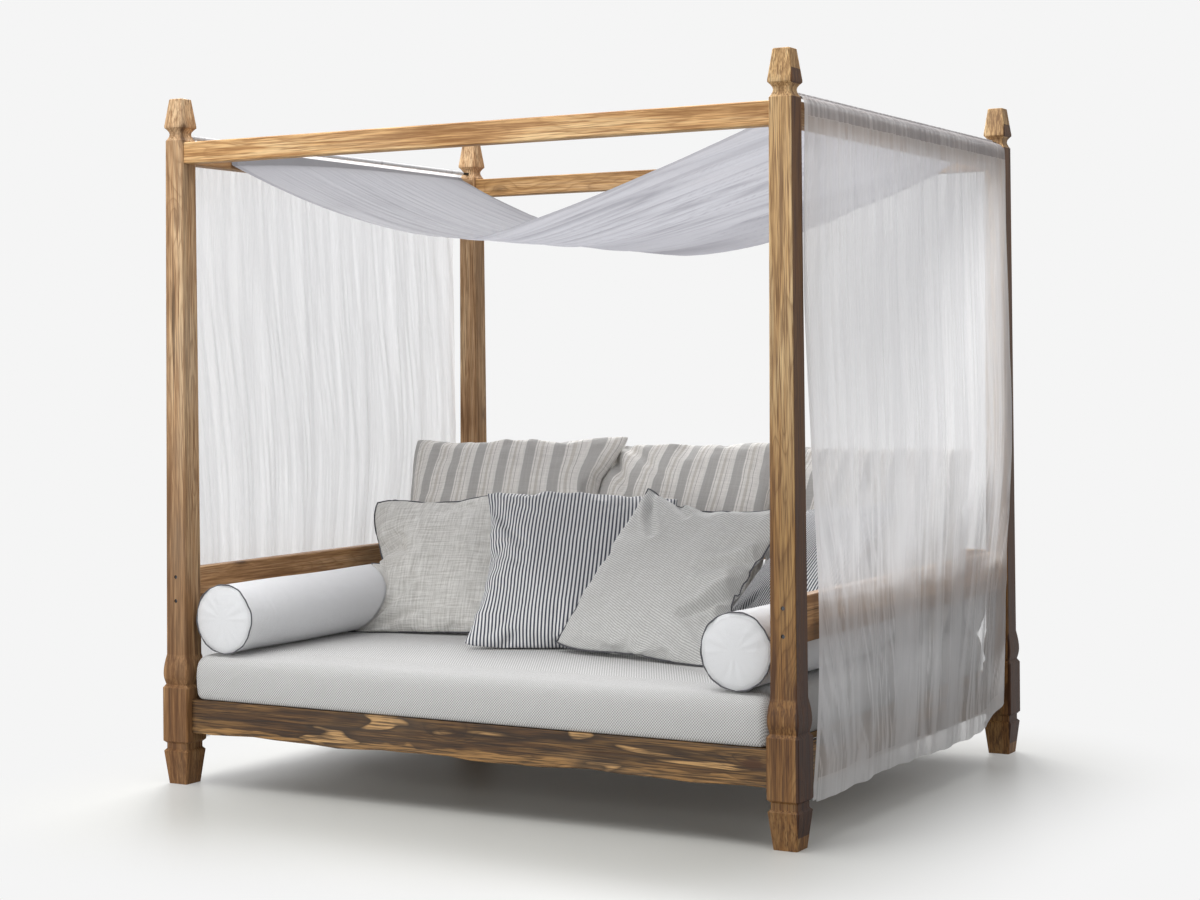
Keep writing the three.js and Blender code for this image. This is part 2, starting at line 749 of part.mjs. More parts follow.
function roundedRectangle(halfX, halfY, corner, cornerSteps) {
  const centres = [[1, 1], [-1, 1], [-1, -1], [1, -1]];
  return centres.flatMap(([sx, sy], quarter) => Array.from({ length: cornerSteps + 1 }, (_, i) => {
    const angle = (quarter + i / cornerSteps) * Math.PI / 2;
    return [
      sx * (halfX - corner) + corner * Math.cos(angle),
      sy * (halfY - corner) + corner * Math.sin(angle),
    ];
  }));
}

function addMattress() {
  const halfX = postX - blockHalf - mattressSideGap;
  const front = -postY - mattressFrontFace;
  const back = postY - armRailThickness / 2 - mattressBackGap;
  const middleY = (front + back) / 2;
  const edgeTop = mattressTop - mattressCrown;
  const profile = [
    [mattressEdge, mattressBase],
    [mattressEdge / 3, mattressBase + mattressEdge / 2],
    [mattressEdge / 3, mattressBase + mattressEdge],
    [0, mattressBase + mattressHeight / 2],
    [mattressEdge / 3, edgeTop - mattressEdge],
    [mattressEdge / 3, edgeTop - mattressEdge / 2],
    [mattressEdge, edgeTop],
    [mattressCrownWidth / 2, mattressTop - mattressCrown / 4],
    [mattressCrownWidth, mattressTop],
  ];
  const rings = profile.map(([inset, height]) => roundedRectangle(
    halfX - inset, back - middleY - inset, mattressCorner, mattressCornerSteps)
    .map(([x, y]) => new THREE.Vector3(x, middleY + y, height)));
  addPiece('mattress', loftRings(rings), 'mattressCloth');
}

addMattress();

// Bolsters

const bolsterX = postX - shaftLowHalf - bolsterPostGap - bolsterRadius - pipingRadius;
const bolsterHeight = mattressTop + seatGap + bolsterRadius + pipingRadius;

function bolsterProfile(length) {
  const end = length / 2;
  const seam = end - bolsterEndBulge;
  const half = [
    [bolsterRadius / 3, end],
    [bolsterRadius * 0.75, end - bolsterEndBulge / 3],
    [bolsterRadius, seam],
    [bolsterRadius + pipingRadius, seam - pipingRadius],
    [bolsterRadius, seam - pipingRadius * 2],
  ];
  return [...half.map(([radius, along]) => [radius, -along]), ...half.reverse()];
}

const bolsterEndY = -postY - bolsterOverhang;

function addBolsters() {
  const middleY = bolsterEndY + sideBolsterLength / 2;
  for (const [side, name] of [[-1, 'left'], [1, 'right']]) {
    const place = moved(side * bolsterX, middleY, bolsterHeight);
    addPiece(`bolster_${name}`, turnedPiece(bolsterProfile(sideBolsterLength), bolsterSides, place), 'bolsterCloth');
  }
  const backY = postY - armRailThickness / 2 - bolsterRailGap - bolsterRadius - pipingRadius;
  const backLength = postSpacingX - armRailThickness - backBolsterEndGap * 2;
  const place = moved(0, backY, bolsterHeight - pipingRadius).multiply(new THREE.Matrix4().makeRotationZ(-Math.PI / 2));
  addPiece('bolster_back', turnedPiece(bolsterProfile(backLength), bolsterSides, place), 'bolsterCloth');
}

addBolsters();

// Cushions and pillows

// The drawn-in outline of a square pillow: full at its corners, pulled in between them
const pillowDrawInShare = 0.075;
const pillowCornerShares = [-0.97, -0.5, 0, 0.5, 0.97];

function pillowOutline(width, height) {
  const side = (share) => 1 - pillowDrawInShare * (1 - share ** 2);
  const half = [width / 2, height / 2];
  const rightSide = pillowCornerShares.map((share) => [half[0] * side(share), half[1] * share]);
  const topSide = pillowCornerShares.map((share) => [-half[0] * share, half[1] * side(share)]);
  const leftSide = rightSide.map(([x, z]) => [-x, -z]);
  const lowerSide = topSide.map(([x, z]) => [-x, -z]);
  return [...rightSide, ...topSide, ...leftSide, ...lowerSide];
}

// Levels of a pillow from its middle to its seam, as shares of the outline and of half the thickness
const pillowLevelShares = [[0.3, 1], [0.58, 0.92], [0.79, 0.72], [0.93, 0.4], [1, 0]];

// A pillow that stands on its lower edge, its front towards -Y, centred on the origin
function pillowRings({ width, height, thickness, seam }) {
  const outline = pillowOutline(width, height);
  const round = Math.hypot(width, height) / 2 * 0.72;
  const levelAt = ([reach, puff], side) => outline.map(([x, z]) => {
    const length = Math.hypot(x, z);
    const softened = THREE.MathUtils.lerp(Math.min(length, round), length, reach ** 4);
    const scale = reach * softened / length;
    const y = side * (seam / 2 + (thickness - seam) / 2 * puff);
    return new THREE.Vector3(x * scale, y, z * scale);
  });
  const front = pillowLevelShares.map((level) => levelAt(level, -1));
  const back = pillowLevelShares.map((level) => levelAt(level, 1)).reverse();
  return [...front, ...back];
}

// What a pillow may not reach into: the mattress, the two side bolsters, and the narrow space below their curve
function pillowNeighbours() {
  const reach = postSpacingX;
  const mattressRoom = boxBetween(
    new THREE.Vector3(-reach, -reach, 0),
    new THREE.Vector3(reach, reach, mattressTop + seatGap));
  const radius = (bolsterRadius + pipingRadius + seatGap) / Math.cos(Math.PI / bolsterSides);
  const ends = [bolsterEndY - seatGap, bolsterEndY + sideBolsterLength + seatGap];
  const bolsterRooms = [-1, 1].map((side) => turnedPiece(
    ends.map((along) => [radius, along]), bolsterSides, moved(side * bolsterX, 0, bolsterHeight)));
  const roomsBelow = [-1, 1].map((side) => {
    const inner = side * (bolsterX - radius);
    const outer = side * reach;
    return boxBetween(
      new THREE.Vector3(Math.min(inner, outer), ends[0], 0),
      new THREE.Vector3(Math.max(inner, outer), ends[1], bolsterHeight));
  });
  return [mattressRoom, ...bolsterRooms, ...roomsBelow];
}

// Lean is back from upright, turn is about the upright and roll in the pillow's own plane, all in degrees
function pillowGeometry(shape, { acrossShare, backGap, lean, turn, roll, sink = pillowSink }) {
  const radians = THREE.MathUtils.degToRad;
  const matrix = new THREE.Matrix4().makeRotationZ(radians(turn))
    .multiply(new THREE.Matrix4().makeRotationX(-radians(lean)))
    .multiply(new THREE.Matrix4().makeRotationY(-radians(roll)));
  const rings = pillowRings(shape).map((ring) => ring.reverse().map((point) => point.applyMatrix4(matrix)));
  const lowest = Math.min(...rings.flat().map((point) => point.z));
  const place = new THREE.Vector3(postX * acrossShare, postY - backGap, mattressTop + seatGap - sink - lowest);
  rings.flat().forEach((point) => point.add(place));
  return cutAway(loftRings(rings), pillowNeighbours());
}

for (const [name, place] of Object.entries(cushionPlaces)) {
  const width = postSpacingX * place.widthShare;
  const shape = { width, height: cushionHeight, thickness: cushionThickness, seam: cushionSeam };
  addPiece(`back_cushion_${name}`, pillowGeometry(shape, place), 'stripedCloth');
}

const pillowFinishes = {
  linen: 'linenCloth',
  navy_stripe: 'navyStripeCloth',
  grey: 'greyCloth',
  fine_stripe: 'navyStripeCloth',
};
for (const [name, place] of Object.entries(pillowPlaces)) {
  const { width, thickness } = pillowShapes[name];
  const shape = { width, height: width, thickness, seam: pillowSeam };
  addPiece(`pillow_${name}`, pillowGeometry(shape, place), pillowFinishes[name]);
}

export default daybed;
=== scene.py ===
# Looks for the outdoor daybed with canopy: wood and metal finishes for the CAD nodes,
# cloth pieces in place of the soft CAD solids, and a plain pale studio. Metres, in the CAD frame.

import math

import bmesh
import bpy
import numpy as np
from mathutils import Matrix, Vector
from mathutils.bvhtree import BVHTree


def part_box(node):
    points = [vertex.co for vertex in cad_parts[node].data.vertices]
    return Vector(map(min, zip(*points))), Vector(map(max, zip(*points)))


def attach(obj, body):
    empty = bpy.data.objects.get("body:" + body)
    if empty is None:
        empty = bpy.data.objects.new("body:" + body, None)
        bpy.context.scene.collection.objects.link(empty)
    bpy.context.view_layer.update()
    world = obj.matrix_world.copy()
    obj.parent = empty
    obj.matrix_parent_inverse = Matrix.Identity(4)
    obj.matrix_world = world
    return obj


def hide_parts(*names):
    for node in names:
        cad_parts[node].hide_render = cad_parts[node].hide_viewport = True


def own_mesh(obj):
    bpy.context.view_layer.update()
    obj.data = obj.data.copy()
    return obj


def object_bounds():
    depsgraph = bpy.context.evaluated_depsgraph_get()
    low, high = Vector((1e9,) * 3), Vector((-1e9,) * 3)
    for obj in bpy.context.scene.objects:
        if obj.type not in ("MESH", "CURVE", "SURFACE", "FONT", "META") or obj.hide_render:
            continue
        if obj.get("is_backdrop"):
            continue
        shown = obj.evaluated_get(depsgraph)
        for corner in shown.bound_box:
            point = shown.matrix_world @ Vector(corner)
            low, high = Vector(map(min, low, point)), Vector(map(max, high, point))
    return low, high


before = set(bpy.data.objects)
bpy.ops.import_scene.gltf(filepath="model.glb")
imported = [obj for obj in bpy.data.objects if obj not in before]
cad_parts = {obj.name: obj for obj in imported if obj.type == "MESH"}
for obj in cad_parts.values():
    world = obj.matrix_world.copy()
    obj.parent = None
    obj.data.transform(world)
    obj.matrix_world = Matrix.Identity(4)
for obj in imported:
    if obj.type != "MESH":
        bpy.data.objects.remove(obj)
cad_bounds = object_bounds()

MM = 0.001

# The photograph's camera
CAMERA_PLACE = (3.6506, -6.4444, 1.3305)
CAMERA_TURN = math.radians(29.604)
CAMERA_ROLL = math.radians(-0.426)
CAMERA_LENS = 66.88
CAMERA_SENSOR = 36.0
CAMERA_SHIFT_Y = -0.0699

BACKGROUND = "#f5f5f5"


def linear(text):
    """A colour written as in a picture editor, as the linear values that shaders use."""
    parts = [int(text[i : i + 2], 16) / 255 for i in (1, 3, 5)]
    return [c / 12.92 if c <= 0.04045 else ((c + 0.055) / 1.055) ** 2.4 for c in parts]


def rgba(text):
    return (*linear(text), 1.0)


# Nodes and materials


def add(tree, kind, *inputs, output=None, stops=(), **settings):
    """Adds a node with its settings and links, and gives back an output: the first in use, or the one named.
    Inputs come in the node's own order, or by name in a dict. A socket is linked, anything else is set, and
    None leaves an input as it is. stops are a ramp's places, each with a colour or a share of white."""
    node = tree.nodes.new(kind if "Node" in kind else "ShaderNode" + kind)
    for name, value in settings.items():
        setattr(node, name, value)
    in_use = [socket for socket in node.inputs if socket.enabled]
    for number, given in enumerate(inputs):
        for name, value in given.items() if isinstance(given, dict) else [(None, given)]:
            socket = next(s for s in in_use if s.name == name) if name else in_use[number]
            give(tree, socket, value)
    if stops:
        elements = node.color_ramp.elements
        while len(elements) < len(stops):
            elements.new(0.5)
        for element, (place, colour) in zip(elements, stops):
            element.position = place
            element.color = rgba(colour) if isinstance(colour, str) else (colour, colour, colour, 1.0)
    return node.outputs[output] if output else next(socket for socket in node.outputs if socket.enabled)


def give(tree, socket, value):
    """Links a socket to another, or sets it."""
    if isinstance(value, bpy.types.NodeSocket):
        tree.links.new(value, socket)
    elif value is not None:
        socket.default_value = value


def new_material(name):
    """A material, its tree, and the inputs of its Principled surface."""
    material = bpy.data.materials.new(name)
    material.use_nodes = True
    return material, material.node_tree, material.node_tree.nodes["Principled BSDF"].inputs


# Wood and metal


def grain_place(tree, axis, share, offset):
    """The place in the object, drawn out along the grain, where a pattern changes share times as fast."""
    scale = tuple(share if letter == axis else 1.0 for letter in "XYZ")
    place = add(tree, "TexCoord", output="Object")
    return add(tree, "Mapping", {"Vector": place, "Location": offset, "Scale": scale})


# Where the painted shade on the outer side of a right post begins: how far out at the floor, and how much
# less for each metre up. That is just inside the shaft's outer face, which leans in with the taper.
POST_FACE = 1.1104
POST_TAPER = 0.00333

KNOT_SPACING = 0.15


def teak(name, axis, heart, pale, vein, band=None, foot_shade=None, patches=None, lines=30.0, greyed=0.3,
         outer_shade=None, offset=(0, 0, 0)):
    """Weathered oiled teak: satin brown, with growth lines that wander, arch and close round knots, open
    pores, greyed patches and hairline cracks along the grain. band is (colour, height, spread): a wavy-edged
    part below a height. The foot ramp is painted shade that darkens the wood towards the floor, and the outer
    colour multiplies the outer side as painted shade. patches is the colour of islands of pale sapwood. lines
    is how many growth lines there are, and greyed how grey the worn places."""
    material, tree, surface = new_material(name)

    def grained(share, scale, **others):
        return {"Vector": grain_place(tree, axis, share, offset), "Scale": scale, **others}

    broad = add(tree, "TexNoise", grained(0.1, 11.0, Detail=3.0, Distortion=0.6))
    knots = add(tree, "TexVoronoi", grained(0.4, 1 / KNOT_SPACING))
    swirl = add(tree, "MapRange", knots, 0.0, 0.34, 1.0, 0.0, interpolation_type="SMOOTHSTEP")

    # Growth lines are contours of a slow noise. They stand wider apart than real ones, so that they show.
    slow = add(tree, "TexNoise", grained(0.085, 7.0, Detail=1.6, Distortion=0.4))
    rings = add(tree, "Math", slow, lines, operation="MULTIPLY")
    rings = add(tree, "Math", swirl, 2.6, rings, operation="MULTIPLY_ADD")
    growth = add(tree, "Math", rings, operation="FRACT")
    line_stops = [(0.0, 1.0), (0.14, 0.45), (0.4, 0.1), (0.78, 0.0), (0.93, 0.3), (1.0, 1.0)]
    line = add(tree, "ValToRGB", growth, stops=line_stops)

    # Streaks are 5 to 15 mm wide, and fibres 2 to 4 mm, which is coarser than real ones so that they show.
    streaks = add(tree, "TexNoise", grained(0.035, 78.0, Detail=4.0, Roughness=0.66))
    fibres = add(tree, "TexNoise", grained(0.025, 290.0, Detail=2.0, Roughness=0.7))
    tone = add(tree, "Math", broad, 0.8, -0.265, operation="MULTIPLY_ADD")
    tone = add(tree, "Math", streaks, 0.74, tone, operation="MULTIPLY_ADD")
    colour = add(tree, "ValToRGB", tone, stops=[(0.33, vein), (0.48, heart), (0.64, pale)])
    upward = add(tree, "SeparateXYZ", add(tree, "TexCoord", output="Object"), output="Z")
    if band:
        band_colour, height, spread = band
        edge = add(tree, "TexNoise", grained(0.3, 10.0, Detail=2.0, Distortion=1.4))
        edge = add(tree, "Math", edge, 2 * spread, height - spread, operation="MULTIPLY_ADD")
        below = add(tree, "Math", edge, upward, operation="SUBTRACT")
        below = add(tree, "Math", below, spread, operation="DIVIDE")
        share = add(tree, "ValToRGB", below, stops=[(0.04, 0.0), (0.12, 0.9)])
        colour = add(tree, "Mix", share, colour, rgba(band_colour), data_type="RGBA")
    if patches:
        island = add(tree, "TexNoise", grained(0.2, 8.5, Detail=2.0, Distortion=0.9))
        rim = add(tree, "ValToRGB", island, stops=[(0.54, 0.0), (0.61, 0.8), (0.625, 0.0)])
        colour = add(tree, "Mix", rim, colour, rgba(vein), data_type="RGBA")
        share = add(tree, "ValToRGB", island, stops=[(0.61, 0.0), (0.63, 0.9)])
        colour = add(tree, "Mix", share, colour, rgba(patches), data_type="RGBA")
    strength = add(tree, "Math", broad, 0.75, 0.06, operation="MULTIPLY_ADD")
    strength = add(tree, "Math", line, strength, operation="MULTIPLY")
    colour = add(tree, "Mix", strength, colour, rgba(vein), data_type="RGBA")
    pores = add(tree, "ValToRGB", fibres, stops=[(0.38, 0.85), (0.5, 0.26), (0.62, 0.0)])
    colour = add(tree, "Mix", pores, colour, rgba(vein), data_type="RGBA")
    weathered = add(tree, "TexNoise", grained(0.22, 9.0, Detail=4.0))
    share = add(tree, "ValToRGB", weathered, stops=[(0.5, 0.0), (0.74, greyed)])
    colour = add(tree, "Mix", share, colour, rgba("#9b8b78"), data_type="RGBA")
    # Painted shade: the wood is darkened more and more towards the floor
    if foot_shade:
        low = add(tree, "Math", upward, 0.5, operation="MULTIPLY")
        low = add(tree, "Math", broad, 0.2, low, operation="MULTIPLY_ADD")
        low = add(tree, "ValToRGB", low, stops=foot_shade)
        colour = add(tree, "Mix", 1.0, colour, low, data_type="RGBA", blend_type="MULTIPLY")
    # Painted shade: the outer side of a right post is multiplied darker
    if outer_shade:
        outward_place = add(tree, "SeparateXYZ", add(tree, "TexCoord", output="Object"), output="X")
        begins = add(tree, "Math", upward, -POST_TAPER, POST_FACE, operation="MULTIPLY_ADD")
        share = add(tree, "Math", outward_place, begins, operation="GREATER_THAN")
        colour = add(tree, "Mix", share, colour, rgba(outer_shade), data_type="RGBA", blend_type="MULTIPLY")
    knot = add(tree, "ValToRGB", knots, stops=[(0.0, 0.95), (0.07, 0.8), (0.1, 0.3), (0.17, 0.0)])
    colour = add(tree, "Mix", knot, colour, rgba("#432814"), data_type="RGBA")
    cracks = add(tree, "TexNoise", grained(0.02, 52.0, Detail=2.0))
    crack = add(tree, "ValToRGB", cracks, stops=[(0.28, 0.8), (0.31, 0.0)])
    colour = add(tree, "Mix", crack, colour, rgba("#38230f"), data_type="RGBA")
    give(tree, surface["Base Color"], colour)
    give(tree, surface["Roughness"], add(tree, "Math", fibres, 0.2, 0.5, operation="MULTIPLY_ADD"))
    give(tree, surface["Specular IOR Level"], 0.3)
    relief = add(tree, "Math", fibres, 0.7, operation="MULTIPLY")
    relief = add(tree, "Math", line, -0.5, relief, operation="MULTIPLY_ADD")
    relief = add(tree, "Math", relief, crack, operation="SUBTRACT")
    normal = add(tree, "Bump", {"Height": relief, "Distance": 0.7 * MM, "Strength": 0.9})
    give(tree, surface["Normal"], normal)
    return material


def dark_steel():
    """Blackened mild steel, drawn into rods and pressed into bolt heads: dull, with brighter worn places."""
    material, tree, surface = new_material("blackened_steel")
    place = add(tree, "TexCoord", output="Object")
    wear = add(tree, "TexNoise", {"Vector": place, "Scale": 60.0, "Detail": 3.0})
    colour = add(tree, "ValToRGB", wear, stops=[(0.35, "#2b2b2d"), (0.7, "#4c4c4e")])
    give(tree, surface["Base Color"], colour)
    give(tree, surface["Metallic"], 0.9)
    give(tree, surface["Roughness"], add(tree, "Math", wear, 0.3, 0.3, operation="MULTIPLY_ADD"))
    return material


# Cloth materials


def cloth_place(tree):
    """The place on the flat cloth, in metres, that each cloth mesh carries."""
    return add(tree, "Attribute", output="Vector", attribute_name="cloth_m")


def bands_scale(pitch):
    """The scale at which a wave texture's straight bands repeat at a pitch in metres."""
    return math.pi / 10 / pitch


def threads_both_ways(tree, place, pitch, **waver):
    """The height of crossed threads at a pitch, from 0 to 1."""
    given = {"Vector": place, "Scale": bands_scale(pitch), **waver}
    both = [add(tree, "TexWave", given, bands_direction=direction) for direction in "XY"]
    return add(tree, "Math", *both, operation="MULTIPLY")


def woven(name, colour, thread=0.9 * MM, relief=0.25 * MM, fleck_and_thread_shade=0.06):
    """Plain woven cloth: matt, with threads both ways, slight flecks, painted shade between the threads and a
    soft sheen. The colour is one colour, or a function of the tree and the place on the cloth. Threads finer
    than the render shows only soften the light."""
    material, tree, surface = new_material(name)
    place = cloth_place(tree)
    threads = threads_both_ways(tree, place, thread, Distortion=0.4, Detail=1.0)
    base = rgba(colour) if isinstance(colour, str) else colour(tree, place)
    flecks = add(tree, "TexNoise", {"Vector": place, "Scale": 900.0, "Detail": 2.0})
    shade = add(tree, "Math", flecks, fleck_and_thread_shade * 2, 1.0 - fleck_and_thread_shade, operation="MULTIPLY_ADD")
    # Painted shade between the threads: raised threads lighter, the low places between them darker
    raised = add(tree, "Math", threads, 0.25, operation="SUBTRACT")
    shade = add(tree, "Math", raised, fleck_and_thread_shade * 2.5, shade, operation="MULTIPLY_ADD")
    shaded = add(tree, "Mix", 1.0, base, shade, data_type="RGBA", blend_type="MULTIPLY")
    give(tree, surface["Base Color"], shaded)
    give(tree, surface["Roughness"], 0.9)
    give(tree, surface["Sheen Weight"], 0.15)
    give(tree, surface["Sheen Roughness"], 0.5)
    creases = add(tree, "TexNoise", {"Vector": place, "Scale": 11.0, "Detail": 4.0, "Distortion": 0.8})
    soft = add(tree, "Bump", {"Height": creases, "Distance": 7 * MM, "Strength": 0.5})
    normal = add(tree, "Bump", {"Height": threads, "Distance": relief, "Strength": 0.8, "Normal": soft})
    give(tree, surface["Normal"], normal)
    return material


def stripe_place(tree, place, pitch):
    """How far a place is through one repeat of a stripe, from 0 to 1."""
    width = add(tree, "SeparateXYZ", place)
    return add(tree, "Math", add(tree, "Math", width, pitch, operation="DIVIDE"), operation="FRACT")


def mattress_check(tree, place):
    """A small two-tone check, set diagonally, of two crossed waves."""
    turned = add(tree, "Mapping", {"Vector": place, "Rotation": (0, 0, math.pi / 2)})
    both = [
        add(tree, "TexWave", {"Vector": given, "Scale": bands_scale(4.2 * MM)}, bands_direction="DIAGONAL")
        for given in (place, turned)
    ]
    mixed = add(tree, "Math", *both, operation="ADD")
    mixed = add(tree, "Math", mixed, 0.5, operation="MULTIPLY")
    return add(tree, "ValToRGB", mixed, stops=[(0.3, "#929190"), (0.6, "#d2d2d1")])


def broad_stripes(tree, place):
    """Wide warm grey bands with thin lines between, on cream."""
    cream, grey, beige, line = "#efece7", "#bbb9b6", "#d6d1c9", "#aaa49e"
    stops = [
        (0.0, grey), (0.36, grey), (0.372, cream), (0.43, cream), (0.435, line), (0.447, line),
        (0.452, cream), (0.56, cream), (0.565, beige), (0.66, beige), (0.665, cream), (0.76, cream),
        (0.765, line), (0.777, line), (0.782, cream), (0.985, cream),
    ]
    stripes = add(tree, "ValToRGB", stripe_place(tree, place, 95 * MM), stops=stops)
    return add(tree, "Mix", slubs(tree, place, 0.16), stripes, rgba("#8d8a86"), data_type="RGBA")


def navy_stripes(tree, place):
    """Narrow navy stripes on white."""
    share = stripe_place(tree, place, 12.5 * MM)
    stripes = [(0.0, "#e0e0e0"), (0.44, "#e0e0e0"), (0.52, "#3b3f4d"), (0.92, "#3b3f4d"), (1.0, "#e0e0e0")]
    return add(tree, "ValToRGB", share, stops=stripes)


def slubs(tree, place, share):
    """Uneven thicker threads both ways, 2 to 5 mm wide, as a share from 0."""
    both = []
    for scale in ((0.06, 1, 1), (1, 0.06, 1)):
        drawn_out = add(tree, "Mapping", {"Vector": place, "Scale": scale})
        given = {"Vector": drawn_out, "Scale": 170.0, "Detail": 3.0, "Roughness": 0.7}
        both.append(add(tree, "TexNoise", given))
    mixed = add(tree, "Math", *both, operation="ADD")
    mixed = add(tree, "Math", mixed, 0.5, operation="MULTIPLY")
    return add(tree, "ValToRGB", mixed, stops=[(0.38, share * 2), (0.6, 0.0)])


def linen_colour(tree, place):
    """Undyed beige grey linen."""
    return add(tree, "Mix", slubs(tree, place, 0.3), rgba("#e5e4e0"), rgba("#8f8b83"), data_type="RGBA")


def grey_twill(tree, place):
    """Pale grey twill with ribs 7 mm apart that run nearly across."""
    turned = add(tree, "Mapping", {"Vector": place, "Rotation": (0, 0, 0.35)})
    waver = {"Distortion": 1.3, "Detail": 2.0, "Detail Scale": 2.2}
    ribs = {"Vector": turned, "Scale": bands_scale(7 * MM), **waver}
    ribs = add(tree, "TexWave", ribs, bands_direction="Y")
    ribs = add(tree, "ValToRGB", ribs, stops=[(0.15, "#a5a5a3"), (0.7, "#d0d0ce")])
    return add(tree, "Mix", slubs(tree, place, 0.14), ribs, rgba("#84847f"), data_type="RGBA")


def sheer(name, single, doubled, open_share, dark_from, glow_share=0.4, streaks=0.1):
    """Thin open-weave cotton: light and what is behind come through, less so where it is folded, gathered or
    hemmed. single and doubled are each the colour that is seen and the colour that light takes on inside. The
    cloth turns from the one to the other from dark_from layers to three. The layer count also carries painted
    shade, so the darker doubled colour paints shade where it is raised. open_share is how much of one layer
    is open, and streaks how much that varies."""
    material, tree, surface = new_material(name)
    place = cloth_place(tree)
    drawn_out = add(tree, "Mapping", {"Vector": place, "Scale": (1, 0.05, 1)})
    bands = add(tree, "TexNoise", {"Vector": drawn_out, "Scale": 60.0, "Detail": 4.0, "Roughness": 0.6})
    layers_and_shade = add(tree, "Attribute", output="Fac", attribute_name="layers_and_shade")
    # Painted shade: a higher layer count darkens the seen colour towards doubled
    extra = add(tree, "MapRange", layers_and_shade, dark_from, 3.0, 0.0, 1.0)
    gaps = add(tree, "Math", bands, streaks * 2, open_share - streaks, operation="MULTIPLY_ADD")
    gaps = add(tree, "Math", add(tree, "Math", gaps, 0.02, operation="MAXIMUM"), layers_and_shade, operation="POWER")
    edge_on = add(tree, "LayerWeight", {"Blend": 0.5}, output="Facing")
    edge_on = add(tree, "Math", edge_on, 2.0, operation="POWER")
    face_on = add(tree, "Math", 1.0, edge_on, operation="SUBTRACT")
    gaps = add(tree, "Math", gaps, face_on, operation="MULTIPLY")
    threads = threads_both_ways(tree, place, 0.8 * MM, Distortion=0.3)
    creased = add(tree, "Mapping", {"Vector": place, "Scale": (1, 0.3, 1)})
    creases = add(tree, "TexNoise", {
        "Vector": creased, "Scale": 22.0, "Detail": 4.0, "Roughness": 0.6, "Distortion": 1.0})
    soft = add(tree, "Bump", {"Height": creases, "Distance": 5 * MM, "Strength": 0.5})
    normal = add(tree, "Bump", {"Height": threads, "Distance": 0.15 * MM, "Strength": 0.5, "Normal": soft})
    seen = add(tree, "Mix", extra, rgba(single[0]), rgba(doubled[0]), data_type="RGBA")
    give(tree, surface["Base Color"], seen)
    give(tree, surface["Roughness"], 0.85)
    give(tree, surface["Normal"], normal)
    passed = add(tree, "Mix", extra, rgba(single[1]), rgba(doubled[1]), data_type="RGBA")
    glow = add(tree, "BsdfTranslucent", {"Color": passed, "Normal": normal})
    body = add(tree, "MixShader", glow_share, tree.nodes["Principled BSDF"].outputs[0], glow)
    whole = add(tree, "MixShader", gaps, body, add(tree, "BsdfTransparent"))
    give(tree, tree.nodes["Material Output"].inputs["Surface"], whole)
    return material


# Mesh helpers


def in_scene(name, data):
    made = bpy.data.objects.new(name, data)
    bpy.context.scene.collection.objects.link(made)
    return made


def mesh_object(name, points, faces, material, cloth=None, layers_and_shade=None):
    """A smooth mesh in the scene. cloth is each point's place on the flat cloth, and the layer count how many
    layers it has, with painted shade added to it in places.
    """
    mesh = bpy.data.meshes.new(name)
    mesh.from_pydata([tuple(p) for p in points], [], [tuple(int(i) for i in f) for f in faces])
    mesh.materials.append(material)
    mesh.shade_smooth()
    if cloth is not None:
        flat = np.zeros((len(points), 3), np.float32)
        flat[:, : cloth.shape[1]] = cloth
        mesh.attributes.new("cloth_m", "FLOAT_VECTOR", "POINT").data.foreach_set("vector", flat.ravel())
    if layers_and_shade is not None:
        counts = np.asarray(layers_and_shade, np.float32)
        mesh.attributes.new("layers_and_shade", "FLOAT", "POINT").data.foreach_set("value", counts)
    mesh.update()
    return in_scene(name, mesh)


def subdivide(piece):
    """One level of smoothing, which stays a modifier."""
    modifier = piece.modifiers.new("smooth", "SUBSURF")
    modifier.levels = 1
    modifier.render_levels = 1


def grid_faces(rows, columns, wrap=False):
    """Quads of a grid stored row after row; wrap joins the last column to the first."""
    quads = []
    for r in range(rows - 1):
        for c in range(columns if wrap else columns - 1):
            d = (c + 1) % columns
            quads.append((r * columns + c, r * columns + d, (r + 1) * columns + d, (r + 1) * columns + c))
    return quads


def cord_tree():
    """Geometry nodes: a round sewn cord along a path of edges. Its cloth place runs round it and along it."""
    tree = bpy.data.node_groups.new("cord_along_path", "GeometryNodeTree")
    kinds = {"Path": "Geometry", "Cord radius": "Float", "Sides": "Int", "Finish": "Material"}
    for name, kind in kinds.items():
        tree.interface.new_socket(name, in_out="INPUT", socket_type="NodeSocket" + kind)
    tree.interface.new_socket("Cord", in_out="OUTPUT", socket_type="NodeSocketGeometry")
    given = {name: add(tree, "NodeGroupInput", output=name) for name in kinds}
    store = "GeometryNodeStoreNamedAttribute"
    path = add(tree, "GeometryNodeMeshToCurve", given["Path"])
    along = add(tree, "GeometryNodeSplineParameter", output="Length")
    path = add(tree, store, path, None, "along_cord", along, data_type="FLOAT", domain="POINT")
    ring = add(tree, "GeometryNodeCurvePrimitiveCircle", given["Sides"], given["Cord radius"])
    turn = add(tree, "Math", add(tree, "GeometryNodeSplineParameter"), 2 * math.pi, operation="MULTIPLY")
    round_place = add(tree, "Math", turn, given["Cord radius"], operation="MULTIPLY")
    ring = add(tree, store, ring, None, "round_cord", round_place, data_type="FLOAT", domain="POINT")
    cord = add(tree, "GeometryNodeCurveToMesh", path, ring)
    stored = [
        add(tree, "GeometryNodeInputNamedAttribute", name, data_type="FLOAT")
        for name in ("round_cord", "along_cord")
    ]
    place = add(tree, "CombineXYZ", *stored)
    cord = add(tree, store, cord, None, "cloth_m", place, data_type="FLOAT_VECTOR", domain="POINT")
    cord = add(tree, "GeometryNodeSetShadeSmooth", cord)
    cord = add(tree, "GeometryNodeRealizeInstances", cord)
    cord = add(tree, "GeometryNodeSetMaterial", cord, None, given["Finish"])
    result = tree.nodes.new("NodeGroupOutput")
    give(tree, result.inputs["Cord"], cord)
    return tree


